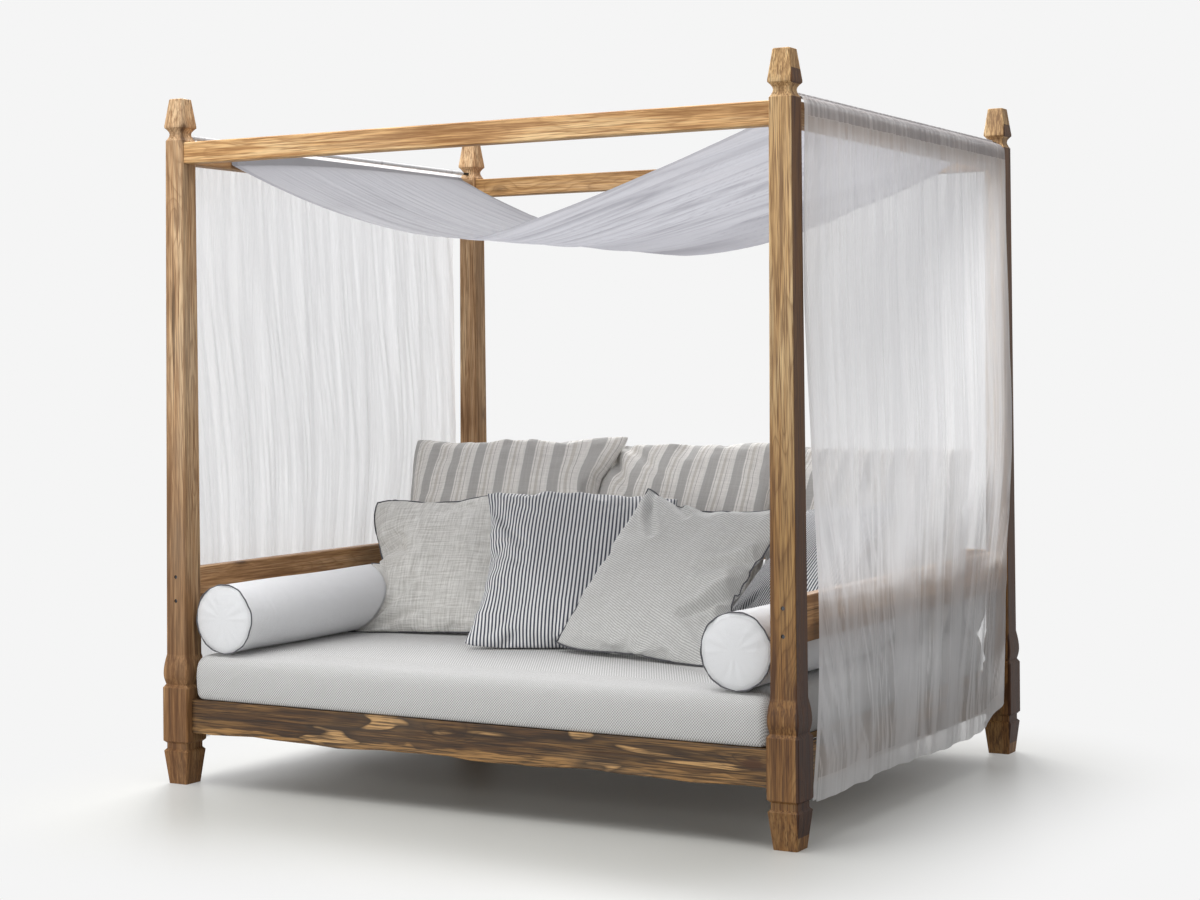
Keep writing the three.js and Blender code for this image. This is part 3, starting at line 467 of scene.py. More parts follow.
def piping(tree, name, ring, radius, material):
    """A cord sewn in along a closed ring of points, as a plain mesh."""
    mesh = bpy.data.meshes.new(name)
    count = len(ring)
    mesh.from_pydata([tuple(p) for p in ring], [(i, (i + 1) % count) for i in range(count)], [])
    made = in_scene(name, mesh)
    modifier = made.modifiers.new("cord", "NODES")
    modifier.node_group = tree
    sizes = {"Cord radius": radius, "Sides": 8, "Finish": material}
    for socket in tree.interface.items_tree:
        if socket.name in sizes:
            modifier[socket.identifier] = sizes[socket.name]
    evaluated = made.evaluated_get(bpy.context.evaluated_depsgraph_get())
    made.data = bpy.data.meshes.new_from_object(evaluated)
    made.modifiers.clear()
    outward(made)
    return made


def outward(piece):
    """Turns every face of a closed piece outwards."""
    work = bmesh.new()
    work.from_mesh(piece.data)
    bmesh.ops.recalc_face_normals(work, faces=work.faces)
    work.to_mesh(piece.data)
    work.free()


def smooth_values(places, values, at):
    """Values at given places, joined by a smooth line."""
    places, values, at = (np.asarray(x, float) for x in (places, values, at))
    slopes = np.gradient(values, places)
    k = np.clip(np.searchsorted(places, at) - 1, 0, len(places) - 2)
    width = places[k + 1] - places[k]
    t = (at - places[k]) / width
    return (
        (2 * t**3 - 3 * t**2 + 1) * values[k]
        + (t**3 - 2 * t**2 + t) * width * slopes[k]
        + (-2 * t**3 + 3 * t**2) * values[k + 1]
        + (t**3 - t**2) * width * slopes[k + 1]
    )


NOISE_CELLS = 257


def smooth_noise(across_place, down_place, seed):
    """Smooth noise from 0 to 1 on a unit grid of two coordinates."""
    across_place, down_place = np.broadcast_arrays(across_place, down_place)
    values = np.random.default_rng(seed).uniform(0, 1, (NOISE_CELLS, NOISE_CELLS))
    a, b = np.floor(across_place).astype(int), np.floor(down_place).astype(int)
    s, t = across_place - a, down_place - b
    s, t = s * s * (3 - 2 * s), t * t * (3 - 2 * t)
    a0, b0, a1, b1 = (number % NOISE_CELLS for number in (a, b, a + 1, b + 1))
    near = values[a0, b0] * (1 - s) + values[a1, b0] * s
    far = values[a0, b1] * (1 - s) + values[a1, b1] * s
    return near * (1 - t) + far * t


def crinkle(across_place, down_place, seed):
    """Sharp crests with broad valleys between, from 0 to 1, as in creased cloth."""
    return 1 - np.abs(2 * smooth_noise(across_place, down_place, seed) - 1)


def finish_piece(piece, body, node, slot, parts=()):
    """A piece replaces its CAD node, rides on its body, and carries its own trims."""
    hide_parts(node)
    for part in (piece, *parts):
        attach(part, body)


# Studio


def seen_directly(tree):
    """1 for what the camera sees, itself or in a reflection, and 0 for what only lights other things."""
    both = [add(tree, "LightPath", output=name) for name in ("Is Camera Ray", "Is Glossy Ray")]
    return add(tree, "Math", *both, operation="MAXIMUM")


def studio():
    """The camera, the background, four large soft lights and the floor."""
    scene = bpy.context.scene
    scene.view_settings.view_transform = "Standard"
    camera = bpy.data.cameras.new("photo_camera")
    camera.sensor_width = CAMERA_SENSOR
    camera.lens = CAMERA_LENS
    camera.shift_y = CAMERA_SHIFT_Y
    camera.clip_end = 100
    holder = in_scene("photo_camera", camera)
    ahead = Vector((-math.sin(CAMERA_TURN), math.cos(CAMERA_TURN), 0))
    level = Vector((math.cos(CAMERA_TURN), math.sin(CAMERA_TURN), 0))
    right = level * math.cos(CAMERA_ROLL) + Vector((0, 0, 1)) * math.sin(CAMERA_ROLL)
    upward = right.cross(ahead)
    turn = Matrix((right, upward, -ahead)).transposed().to_4x4()
    holder.matrix_world = Matrix.Translation(CAMERA_PLACE) @ turn
    scene.camera = holder

    world = bpy.data.worlds.new("studio")
    scene.world = world
    world.use_nodes = True
    tree = world.node_tree
    direct = seen_directly(tree)
    lit = add(tree, "Background", (1.0, 1.0, 1.0, 1.0), 0.22)
    seen = add(tree, "Background", rgba(BACKGROUND), 1.0)
    give(tree, tree.nodes["World Output"].inputs["Surface"], add(tree, "MixShader", direct, lit, seen))

    soft_light("window", (-3.2, 5.0, 4.6), (0, 0, 0.7), 3.6, 540)
    soft_light("front", (-2.6, -7.2, 1.7), (0, 0, 0.6), 3.6, 285)
    soft_light("ceiling", (-0.7, -0.8, 5.6), (0, -0.2, 0), 5.5, 450)
    soft_light("right", (5.2, -2.2, 2.6), (1.1, 0.2, 0.4), 2.8, 68)
    floor()


def soft_light(name, place, target, size, power):
    """A square soft box, size metres wide and power watts strong, that looks at a target."""
    light = bpy.data.lights.new(name, "AREA")
    light.shape = "SQUARE"
    light.size = size
    light.energy = power
    holder = in_scene(name, light)
    holder.location = place
    holder.rotation_euler = (Vector(target) - Vector(place)).to_track_quat("-Z", "Y").to_euler()


# The part of the floor that takes the shadow: its centre and half its width and depth, before it fades out
FLOOR_CENTRE = (0.12, -0.3)
FLOOR_HALF = (0.7, 0.75)


def floor():
    """A pale, slightly glossy floor that takes the bed's shadow and meets the background further out."""
    material, tree, surface = new_material("pale_floor")
    place = add(tree, "TexCoord", output="Object")
    centred = add(tree, "Mapping", {"Vector": place, "Location": (-FLOOR_CENTRE[0], -FLOOR_CENTRE[1], 0)})
    outside = add(tree, "VectorMath", centred, operation="ABSOLUTE")
    beyond = add(tree, "VectorMath", outside, (*FLOOR_HALF, 0), operation="SUBTRACT")
    clear = add(tree, "VectorMath", beyond, (0, 0, 0), operation="MAXIMUM")
    reach = add(tree, "VectorMath", clear, operation="LENGTH")
    fade = add(tree, "MapRange", reach, 0.1, 1.1, 0.0, 1.0, interpolation_type="SMOOTHSTEP")
    give(tree, surface["Base Color"], rgba("#b9b9b5"))
    give(tree, surface["Roughness"], 0.38)
    give(tree, surface["Specular IOR Level"], 0.3)
    strength = add(tree, "Math", seen_directly(tree), 0.75, 0.25, operation="MULTIPLY_ADD")
    glow = add(tree, "Emission", rgba(BACKGROUND), strength)
    whole = add(tree, "MixShader", fade, tree.nodes["Principled BSDF"].outputs[0], glow)
    give(tree, tree.nodes["Material Output"].inputs["Surface"], whole)
    far = 30.0
    corners = [(-far, -far, 0), (far, -far, 0), (far, far, 0), (-far, far, 0)]
    made = mesh_object("floor", corners, [(0, 1, 2, 3)], material)
    made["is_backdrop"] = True


# CAD nodes that keep their shape


def paint_frame():
    """Gives every wooden and steel node its finish, by the start of its name."""
    # Painted shade ramps, multiplied in, that darken the posts towards the floor
    left_foot_shade = [(0.2, "#bcab93"), (0.75, "#ffffff")]
    right_foot_shade = [(0.28, "#a08c73"), (0.55, "#bba98d"), (0.95, "#ffffff")]
    left_post = teak("teak_left_posts", "Z", "#c49d74", "#dfc098", "#7d5a38", foot_shade=left_foot_shade, greyed=0.45)
    # The right posts carry painted shade on their outer side
    right_post = teak(
        "teak_right_posts", "Z", "#d3ac78", "#ebce9f", "#74522e", foot_shade=right_foot_shade, greyed=0.2, outer_shade="#7d6753",
        offset=(0.3, 0.2, 0.9))
    side = teak(
        "teak_side_rails", "Y", "#b68c60", "#c9a67e", "#7c5733", ("#5f452b", 0.606, 0.022),
        offset=(0.3, 0.1, 0.7))
    cross = teak(
        "teak_cross_rails", "X", "#dbad75", "#efcc98", "#8e6234", lines=18.0, greyed=0.12,
        offset=(0.2, 0.5, 0.1))
    aged_cross = teak(
        "aged_teak_front", "X", "#553b22", "#87653c", "#22150a", ("#a37b4a", 0.192, 0.036), patches="#cda26c",
        lines=22.0, greyed=0.1, offset=(0.1, 0.3, 0.2))
    # Painted shade: a darker copy of the cross rails' teak, for the back top rail
    shaded_back_rail = teak(
        "shaded_teak_back_rails", "X", "#bf9561", "#d6b183", "#7d5831", lines=26.0, greyed=0.15,
        offset=(0.6, 0.2, 0.8))
    aged_side = teak(
        "aged_teak_sides", "Y", "#5a4128", "#90704a", "#2a1a0e", ("#96734a", 0.18, 0.03), patches="#b58b5b",
        offset=(0.4, 0.3, 0.6))
    deck_along = teak("sawn_teak_along", "Y", "#a8865c", "#bb9b72", "#84653f", offset=(0.7, 0.2, 0.4))
    deck_across = teak("sawn_teak_across", "X", "#a8865c", "#bb9b72", "#84653f", offset=(0.5, 0.6, 0.4))
    steel = dark_steel()
    finishes = {
        "post_front_left": left_post,
        "post_back_left": left_post,
        "post_front_right": right_post,
        "post_back_right": right_post,
        "arm_rail_": side,
        "top_rail_left": side,
        "top_rail_right": side,
        "top_rail_front": cross,
        "top_rail_back": shaded_back_rail,
        "rest_rail_back": cross,
        "lower_rail_front": aged_cross,
        "lower_rail_back": aged_cross,
        "lower_rail_left": aged_side,
        "lower_rail_right": aged_side,
        "ledger_": deck_across,
        "deck_beam": deck_across,
        "slat_": deck_along,
        "arm_bolt_": steel,
        "curtain_rod_": steel,
    }
    for name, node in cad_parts.items():
        for start, material in finishes.items():
            if name.startswith(start):
                node.data.materials.clear()
                node.data.materials.append(material)


# Padded pieces

MATTRESS_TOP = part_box("mattress")[1].z
REST_GAP = 1.2 * MM
PRESS_SOFTNESS = 14 * MM
SIM_FRAMES = 30
PANEL_CELLS = 54
# Panels are cut this much larger than their piece, because filling draws them in
PANEL_ALLOWANCE = 1.06

# size is width, height and thickness. x and y are where the middle stands, and lean, turn and roll are
# degrees. draw is how far each side is drawn in between its corners, as a share of half the size: left,
# right, lower, upper. creases are long folds, each from one place [across, up] to another, from -1 to 1, with
# how wide and how deep. ears are corners moved [across, out, up] in the piece's own plane. lift is how far a
# pillow's joint moves it. cleared is 1 where a piece gives way backwards; the others give way forwards.
CUSHIONS = {
    "left": {
        "size": (0.72, 0.71, 0.23), "x": -0.690, "y": 0.4245, "lean": 28, "turn": 13.6, "roll": 0.8,
        "draw": (0.035, -0.02, 0.01, 0.04),
        "ears": {"upper_right": (0.1, -0.01, 0.02), "upper_left": (-0.01, 0, 0.015)},
    },
    "middle": {
        "size": (0.69, 0.71, 0.23), "x": -0.018, "y": 0.5845, "lean": 28, "turn": 0, "roll": 0, "cleared": 1,
        "draw": (-0.06, 0.02, 0.01, 0.04), "ears": {"upper_left": (-0.05, 0.0, 0.0)},
        "creases": (((-0.95, 0.9), (-0.5, 0.2), 0.018, 0.03), ((-0.8, 0.95), (-0.2, 0.5), 0.014, 0.022)),
    },
    "right": {
        "size": (0.69, 0.71, 0.23), "x": 0.674, "y": 0.5825, "lean": 28, "turn": 0, "roll": 0, "cleared": 1,
        "draw": (0.02, 0.035, 0.01, 0.04),
    },
}
PILLOWS = {
    "linen": {
        "lift": (0, 0.1868, 0.2348),
        "size": (0.56, 0.56, 0.15), "x": -0.650, "y": 0.0455, "lean": 38.5, "turn": 8, "roll": 6.3,
        "draw": (0.13, 0.05, 0.0, 0.03),
        "ears": {
            "lower_left": (-0.08, 0.0, -0.02), "upper_left": (-0.025, 0.0, 0.03),
            "upper_right": (-0.03, 0, -0.045),
        },
        "creases": (
            ((-1.0, -0.95), (-0.2, -0.75), 0.013, 0.02), ((-0.9, -0.9), (-0.3, -0.35), 0.015, 0.015),
            ((-0.9, 0.3), (-0.4, 0.1), 0.02, 0.012),
        ),
    },
    "fine_stripe": {
        "lift": (0, 0, 0.25),
        "size": (0.58, 0.58, 0.14), "x": 0.680, "y": 0.1205, "lean": 42, "turn": -40, "roll": 8,
        "draw": (0.05, 0.05, 0.02, 0.05),
    },
    "navy_stripe": {
        "lift": (-0.0794, 0.1593, 0.1756),
        "size": (0.66, 0.66, 0.15), "x": -0.082, "y": -0.0615, "lean": 45.4, "turn": 26.5, "roll": -2.7,
        "draw": (0.14, 0.04, 0.0, 0.05),
        "creases": (((-1.0, 0.95), (-0.5, 0.1), 0.02, 0.024), ((-0.98, 0.2), (-0.5, -0.1), 0.02, 0.016)),
    },
    "grey": {
        "lift": (0.0291, 0.197, 0.2243),
        "size": (0.60, 0.60, 0.135), "x": 0.361, "y": -0.2015, "lean": 41.6, "turn": -8.4, "roll": -4.5,
        "draw": (0.02, 0.11, 0.01, 0.1),
        "ears": {"upper_left": (0.0, 0.0, 0.035), "upper_right": (0.0, 0.0, 0.02)},
        "creases": (
            ((0.98, -0.1), (0.55, -0.5), 0.017, 0.045), ((0.95, 0.3), (0.5, 0.05), 0.02, 0.024),
            ((-0.92, 0.97), (-0.4, 0.4), 0.015, 0.034), ((-0.6, 0.98), (-0.1, 0.7), 0.013, 0.03),
            ((-0.2, 0.97), (0.5, 0.6), 0.02, 0.016), ((0.9, -0.95), (0.2, -0.6), 0.018, 0.014),
        ),
    },
}
CORNERS = {"lower_left": (-1, -1), "lower_right": (1, -1), "upper_right": (1, 1), "upper_left": (-1, 1)}


def flat_panels(width, height):
    """Two flat panels sewn together round their edges: the front one whole, then the inside of the back one.
    Gives points, faces, cloth places and the seam's loop."""
    count = PANEL_CELLS + 1
    steps = np.linspace(-0.5, 0.5, count)
    x, z = np.meshgrid(steps * width, steps * height)
    inside = (slice(1, -1), slice(1, -1))
    front_y = np.zeros((count, count))
    front_y[inside] = -2 * MM
    front = np.stack([x, front_y, z], -1).reshape(-1, 3)
    back = np.stack([x[inside], 0 * x[inside] + 2 * MM, z[inside]], -1).reshape(-1, 3)
    points = np.concatenate([front, back])
    front_number = np.arange(count * count).reshape(count, count)
    back_number = front_number.copy()
    back_number[inside] = count * count + np.arange((count - 2) ** 2).reshape(count - 2, count - 2)
    faces = []
    for number, way in ((front_number, 1), (back_number, -1)):
        quads = np.stack([number[:-1, :-1], number[:-1, 1:], number[1:, 1:], number[1:, :-1]], -1)
        faces += quads.reshape(-1, 4)[:, ::way].tolist()
    seam = [*front_number[0, :-1], *front_number[:-1, -1], *front_number[-1, :0:-1], *front_number[:0:-1, 0]]
    return points, faces, points[:, [0, 2]].copy(), seam


def fill_with_air(shapes):
    """Blows up the sewn panels of every shape with Blender's cloth, all at once, and gives back their
    points."""
    scene = bpy.context.scene
    plain = bpy.data.materials.new("unfinished_cloth")
    made = []
    for number, (name, shape) in enumerate(shapes.items()):
        width, height, _ = shape["size"]
        cut = (width * PANEL_ALLOWANCE, height * PANEL_ALLOWANCE)
        points, faces, cloth, seam = flat_panels(*cut)
        uneven = np.random.default_rng(40 + number).uniform(-1, 1, len(points)) * 0.4 * MM
        points[:, 1] += uneven
        shift = np.array([number * 1.5, 20.0, 0.0])
        piece = mesh_object("filling_" + name, points + shift, faces, plain)
        modifier = piece.modifiers.new("cloth", "CLOTH")
        settings = modifier.settings
        settings.quality = 8
        settings.mass = 0.15
        settings.tension_stiffness = 150
        settings.compression_stiffness = 60
        settings.shear_stiffness = 30
        settings.bending_stiffness = 0.02
        settings.use_pressure = True
        settings.uniform_pressure_force = 2.0
        settings.effector_weights.gravity = 0
        modifier.point_cache.frame_start = 1
        modifier.point_cache.frame_end = SIM_FRAMES
        made.append((name, piece, shift, faces, cloth, seam))
    for number in range(1, SIM_FRAMES + 1):
        scene.frame_set(number)
    graph = bpy.context.evaluated_depsgraph_get()
    results = {}
    for name, piece, shift, faces, cloth, seam in made:
        cooked = piece.evaluated_get(graph).to_mesh()
        points = np.array([v.co for v in cooked.vertices]) - shift
        results[name] = (points, faces, cloth, seam)
    for _, piece, *_ in made:
        bpy.data.objects.remove(piece)
    bpy.data.materials.remove(plain)
    scene.frame_set(1)
    return results


def calm_seam(points, keep=0.3):
    """Smooths each side's seam, which buckles when it is blown up, and takes the cloth near it along."""
    count = PANEL_CELLS + 1
    front = points[: count * count].reshape(count, count, 3).copy()
    back = front.copy()
    back[1:-1, 1:-1] = points[count * count :].reshape(count - 2, count - 2, 3)
    t = np.linspace(0, 1, count)
    ease = np.clip(1 - t / 0.35, 0, 1) ** 1.5
    curves = np.stack([t * (1 - t), t * (1 - t) * (t - 0.5), (t * (1 - t)) ** 2], 1)
    change = np.zeros_like(front)
    for side in range(4):
        edge = np.rot90(front, side)[0]
        straight = edge[0] + t[:, None] * (edge[-1] - edge[0])
        bow = np.linalg.lstsq(curves, edge - straight, rcond=None)[0]
        residual = edge - straight - curves @ bow
        np.rot90(change, side)[...] += -(1 - keep) * residual[None, :, :] * ease[:, None, None]
    front += change
    back += change
    return np.concatenate([front.reshape(-1, 3), back[1:-1, 1:-1].reshape(-1, 3)])


def to_size(points, seam, shape):
    """Brings a filled shape to its width, height and thickness, and its sides to how far they are drawn
    in."""
    width, height, thickness = shape["size"]
    fitted = calm_seam(points)
    fitted = fitted - fitted[seam].mean(0)
    quarter = len(seam) // 4
    corners = [seam[i * quarter] for i in range(4)]
    fitted[:, 0] *= width / 2 / np.abs(fitted[corners][:, 0]).mean()
    fitted[:, 2] *= height / 2 / np.abs(fitted[corners][:, 2]).mean()
    middles = [fitted[seam[i * quarter + quarter // 2]] for i in range(4)]
    lower, right, upper, left = middles[0][2], middles[1][0], middles[2][2], middles[3][0]
    left_draw, right_draw, lower_draw, upper_draw = shape["draw"]
    u, v = 2 * fitted[:, 0] / width, 2 * fitted[:, 2] / height
    left_side, right_side = (1 - left_draw) / (-2 * left / width), (1 - right_draw) / (2 * right / width)
    lower_side, upper_side = (1 - lower_draw) / (-2 * lower / height), (1 - upper_draw) / (2 * upper / height)
    side = np.where(u < 0, left_side, right_side) - 1
    rise = np.where(v < 0, lower_side, upper_side) - 1
    fitted[:, 0] *= 1 + side * np.clip(1 - v**2, 0, 1) * np.clip(np.abs(u) * 1.3, 0, 1)
    fitted[:, 2] *= 1 + rise * np.clip(1 - u**2, 0, 1) * np.clip(np.abs(v) * 1.3, 0, 1)
    spread = np.percentile(fitted[:, 1], 99.5) - np.percentile(fitted[:, 1], 0.5)
    fitted[:, 1] *= thickness / spread * (1 - 0.12 * v)
    fitted[:, 1] -= np.sign(fitted[:, 1]) * np.minimum(wrinkles(fitted, shape), np.abs(fitted[:, 1]) * 0.8)
    for corner, move in shape.get("ears", {}).items():
        tip = np.array([CORNERS[corner][0] * width / 2, 0, CORNERS[corner][1] * height / 2])
        near = np.exp(-((np.linalg.norm(fitted - tip, axis=1) / 0.11) ** 2))
        fitted += near[:, None] * np.array(move)
    return fitted


def wrinkles(points, shape):
    """How deep the cloth is creased: gathers along the seams, creases that spread from the corners, slack
    dents, and the few long creases that a piece has of its own."""
    width, height, _ = shape["size"]
    seed = shape["seed"]
    x, z = points[:, 0], points[:, 2]
    from_side, from_end = width / 2 - np.abs(x), height / 2 - np.abs(z)
    inside = np.clip(np.minimum(from_side, from_end), 0, None)
    corner = 2 * (x > 0) + (z > 0)
    reach = np.hypot(from_side, from_end)
    spread = crinkle(np.arctan2(from_end, from_side) * 5.5 + 20 * corner, reach * 5 + 9, seed)
    depth = 9 * MM * (0.6 - spread) * np.clip(reach / 0.05, 0, 1) * np.exp(-((reach / 0.17) ** 2))
    along = np.where(from_side < from_end, z + 5, x + 9)
    gathers = crinkle(along / 0.042, inside * 9 + 3 * corner, seed + 1)
    depth += 5 * MM * (0.5 - gathers) * np.clip(inside / 0.015, 0, 1) * np.exp(-((inside / 0.055) ** 2))
    slack = crinkle((x + 2) * 5.5 + z, (z + 2) * 7.5, seed + 2)
    depth += 9 * MM * (0.55 - slack) * np.clip(inside / 0.06, 0, 1)
    for start, end, reach, deep in shape.get("creases", ()):
        start, end = (np.array(place) * (width / 2, height / 2) for place in (start, end))
        run = end - start
        place = np.stack([x, z], -1) - start
        share = np.clip(place @ run / (run @ run), 0, 1)
        away = np.linalg.norm(place - share[:, None] * run, axis=1)
        taper = 1 - 0.6 * share
        dip = np.exp(-((away / reach) ** 2))
        bank = np.exp(-(((away - 1.8 * reach) / reach) ** 2))
        depth += deep * taper * (dip - 0.45 * bank)
    return depth * np.clip(inside / 0.014, 0, 1)


def stand_turn(shape):
    """The turn that stands a flat shape up: roll, then lean back, then turn."""
    lean, turn, roll = (math.radians(shape[k]) for k in ("lean", "turn", "roll"))
    return Matrix.Rotation(turn, 3, "Z") @ Matrix.Rotation(-lean, 3, "X") @ Matrix.Rotation(-roll, 3, "Y")


def standing(points, shape, node):
    """Stands a filled shape where its CAD solid stands."""
    width, height, _ = shape["size"]
    lean, roll = math.radians(shape["lean"]), math.radians(shape["roll"])
    reach = (width * abs(math.sin(roll)) + height * math.cos(roll)) / 2 * math.cos(lean)
    centre = np.array([shape["x"], shape["y"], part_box(node)[1].z - reach])
    return points @ np.array(stand_turn(shape)).T + centre


def soft_floor(distance, softness=PRESS_SOFTNESS):
    """Keeps a distance above zero, and leaves it as it is once it is well clear."""
    inside = distance < softness
    return np.where(inside, softness * np.exp(np.minimum(distance - softness, 0) / softness), distance)


def pressed(points):
    """Presses points off the mattress and off the inner sides of the two side bolsters."""
    result = points.copy()
    for node, inward in (("bolster_left", 1), ("bolster_right", -1)):
        low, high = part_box(node)
        x, z = (low.x + high.x) / 2, (low.z + high.z) / 2
        radius = (high.z - low.z) / 2 + REST_GAP
        below = np.clip(z - result[:, 2], 0, radius)
        wall = np.sqrt(radius**2 - below**2)
        across_place = np.maximum(inward * (result[:, 0] - x), 1 * MM)
        up_place = np.maximum(result[:, 2] - z, 0)
        distance = np.hypot(across_place, up_place)
        moved = wall + soft_floor(distance - wall)
        beside = np.clip((high.y + 0.05 - result[:, 1]) / 0.05, 0, 1)
        within = beside * (distance < wall + PRESS_SOFTNESS)
        pushed_x = x + inward * across_place * moved / distance
        pushed_z = np.where(up_place > 0, z + up_place * moved / distance, result[:, 2])
        result[:, 0] += (pushed_x - result[:, 0]) * within
        result[:, 2] += (pushed_z - result[:, 2]) * within
    floor_height = MATTRESS_TOP + REST_GAP
    result[:, 2] = floor_height + soft_floor(result[:, 2] - floor_height)
    return result


def eased(field):
    """Spreads a move softly over the cloth round it, and never lowers it."""
    rows, columns = field.shape
    soft = field
    for _ in range(6):
        wide = np.pad(soft, 1, mode="edge")
        blurred = sum(wide[r : rows + r, c : columns + c] for r in range(3) for c in range(3))
        soft = np.maximum(field, blurred / 9)
    return soft


# How far a piece and an earlier one are lifted, as shares of their joints' travel, where they have to clear
LIFT_SHARES = ((0, 0), (0.5, 0), (1, 0), (0, 0.5), (0, 1), (0.5, 0.5), (1, 1))
# How far a piece may give way at rest, and how far for a lifted one
CLEAR_REACH = 0.09
LIFT_LIMIT = 45 * MM


def clear_of(points, direction, lift, neighbours, gap):
    """Moves a piece along one direction until it clears earlier pieces, and eases the move over its cloth. It
    gives way a little more, up to a limit, where it would touch one when either is lifted."""
    count = PANEL_CELLS + 1
    direction = np.array(direction)
    needed = np.zeros(len(points))
    for tree, low, high, other_lift in neighbours:
        for own_share, other_share in LIFT_SHARES if np.any(lift) else LIFT_SHARES[:1]:
            limit = LIFT_LIMIT if own_share or other_share else CLEAR_REACH
            starts = points + own_share * lift - other_share * other_lift + direction * CLEAR_REACH
            ends = starts - direction * (CLEAR_REACH + gap)
            close = ((np.maximum(starts, ends) > low) & (np.minimum(starts, ends) < high)).all(1)
            for number in np.flatnonzero(close):
                start = Vector(starts[number])
                distance = tree.ray_cast(start, Vector(-direction), CLEAR_REACH + gap)[3]
                if distance is not None:
                    needed[number] = max(needed[number], min(CLEAR_REACH - distance + gap, limit))
    front = needed[: count * count].reshape(count, count)
    back = front.copy()
    back[1:-1, 1:-1] = needed[count * count :].reshape(count - 2, count - 2)
    front_move = eased(np.maximum(front, 0.6 * back))
    back_move = eased(np.maximum(back, 0.6 * front))
    edge = np.maximum(front_move, back_move)
    front_move[[0, -1]], front_move[:, [0, -1]] = edge[[0, -1]], edge[:, [0, -1]]
    moves = np.concatenate([front_move.ravel(), back_move[1:-1, 1:-1].ravel()])
    return points + moves[:, None] * direction


def padded_piece(name, shape, filled, material, node, slot, neighbours, cord=None):
    """A filled cushion or pillow in place of its solid, clear of the ones before it. cord is its piping's
    radius, material and node tree."""
    points, faces, cloth, seam = filled
    points = to_size(points, seam, shape)
    points = pressed(standing(points, shape, node))
    direction = stand_turn(shape) @ Vector((0, shape.get("cleared", -1), 0))
    lift = np.array(shape.get("lift", (0, 0, 0)))
    gap = REST_GAP + (cord[0] if cord else 0)
    points = clear_of(points, direction, lift, neighbours, gap)
    surface = BVHTree.FromPolygons([Vector(p) for p in points], faces)
    neighbours.append((surface, points.min(0), points.max(0), lift))
    piece = mesh_object(name, points, faces, material, cloth)
    outward(piece)
    subdivide(piece)
    parts = []
    if cord:
        radius, cord_material, tree = cord
        parts.append(piping(tree, name + "_piping", points[seam], radius, cord_material))
    finish_piece(piece, node, node, slot, parts)


def add_padded(cords):
    """The back cushions and the loose pillows, from the back to the front."""
    shapes = {"cushion_" + k: v for k, v in CUSHIONS.items()} | {"pillow_" + k: v for k, v in PILLOWS.items()}
    for number, shape in enumerate(shapes.values()):
        shape["seed"] = 50 + 7 * number
    filled = fill_with_air(shapes)
    striped = woven("striped_canvas", broad_stripes)
    navy = woven("navy_striped_cotton", navy_stripes, 0.7 * MM)
    linen = woven("beige_grey_linen", linen_colour, 1.1 * MM, 0.35 * MM, 0.1)
    twill = woven("grey_twill", grey_twill, 1.0 * MM, 0.3 * MM, 0.08)
    dark_trim = woven("dark_grey_trim", "#4b4b50", 1.0 * MM)
    neighbours = []
    for key, shape in CUSHIONS.items():
        node = "back_cushion_" + key
        name = "cushion_" + key
        padded_piece("striped_" + name, shape, filled[name], striped, node, "striped_cloth", neighbours)
    looks = {
        "linen": (linen, "linen_cloth", (2.6 * MM, dark_trim, cords)),
        "navy_stripe": (navy, "navy_stripe_cloth", None),
        "grey": (twill, "grey_cloth", (2.6 * MM, dark_trim, cords)),
        "fine_stripe": (navy, "navy_stripe_cloth", None),
    }
    for key, shape in PILLOWS.items():
        material, slot, cord = looks[key]
        name = "pillow_" + key
        padded_piece("loose_" + name, shape, filled[name], material, name, slot, neighbours, cord)


def rounded_rectangle(half_x, half_y, corner, per_side, per_corner):
    """Points round a rectangle with rounded corners."""
    centres = np.array([(1, 1), (-1, 1), (-1, -1), (1, -1)]) * (half_x - corner, half_y - corner)
    points = []
    for quarter in range(4):
        for i in range(per_corner):
            angle = (quarter + i / per_corner) * math.pi / 2
            points.append(centres[quarter] + (corner * math.cos(angle), corner * math.sin(angle)))
        angle = (quarter + 1) * math.pi / 2
        turned = np.array((corner * math.cos(angle), corner * math.sin(angle)))
        start, end = centres[quarter] + turned, centres[(quarter + 1) % 4] + turned
        for i in range(per_side):
            points.append(start + (end - start) * (i / per_side))
    return np.array(points)


# The mattress's outline from its underside to its top: how far in from the edge and how far up, in
# millimetres, where it is 148 mm thick
MATTRESS_PROFILE = (
    (60, 0), (22, 0), (10, 3), (5, 10), (3, 20), (1, 42), (0, 74), (1.5, 100), (5, 118),
    (11, 130.5), (20, 138.5), (34, 143), (58, 146), (95, 147.4), (150, 148),
)


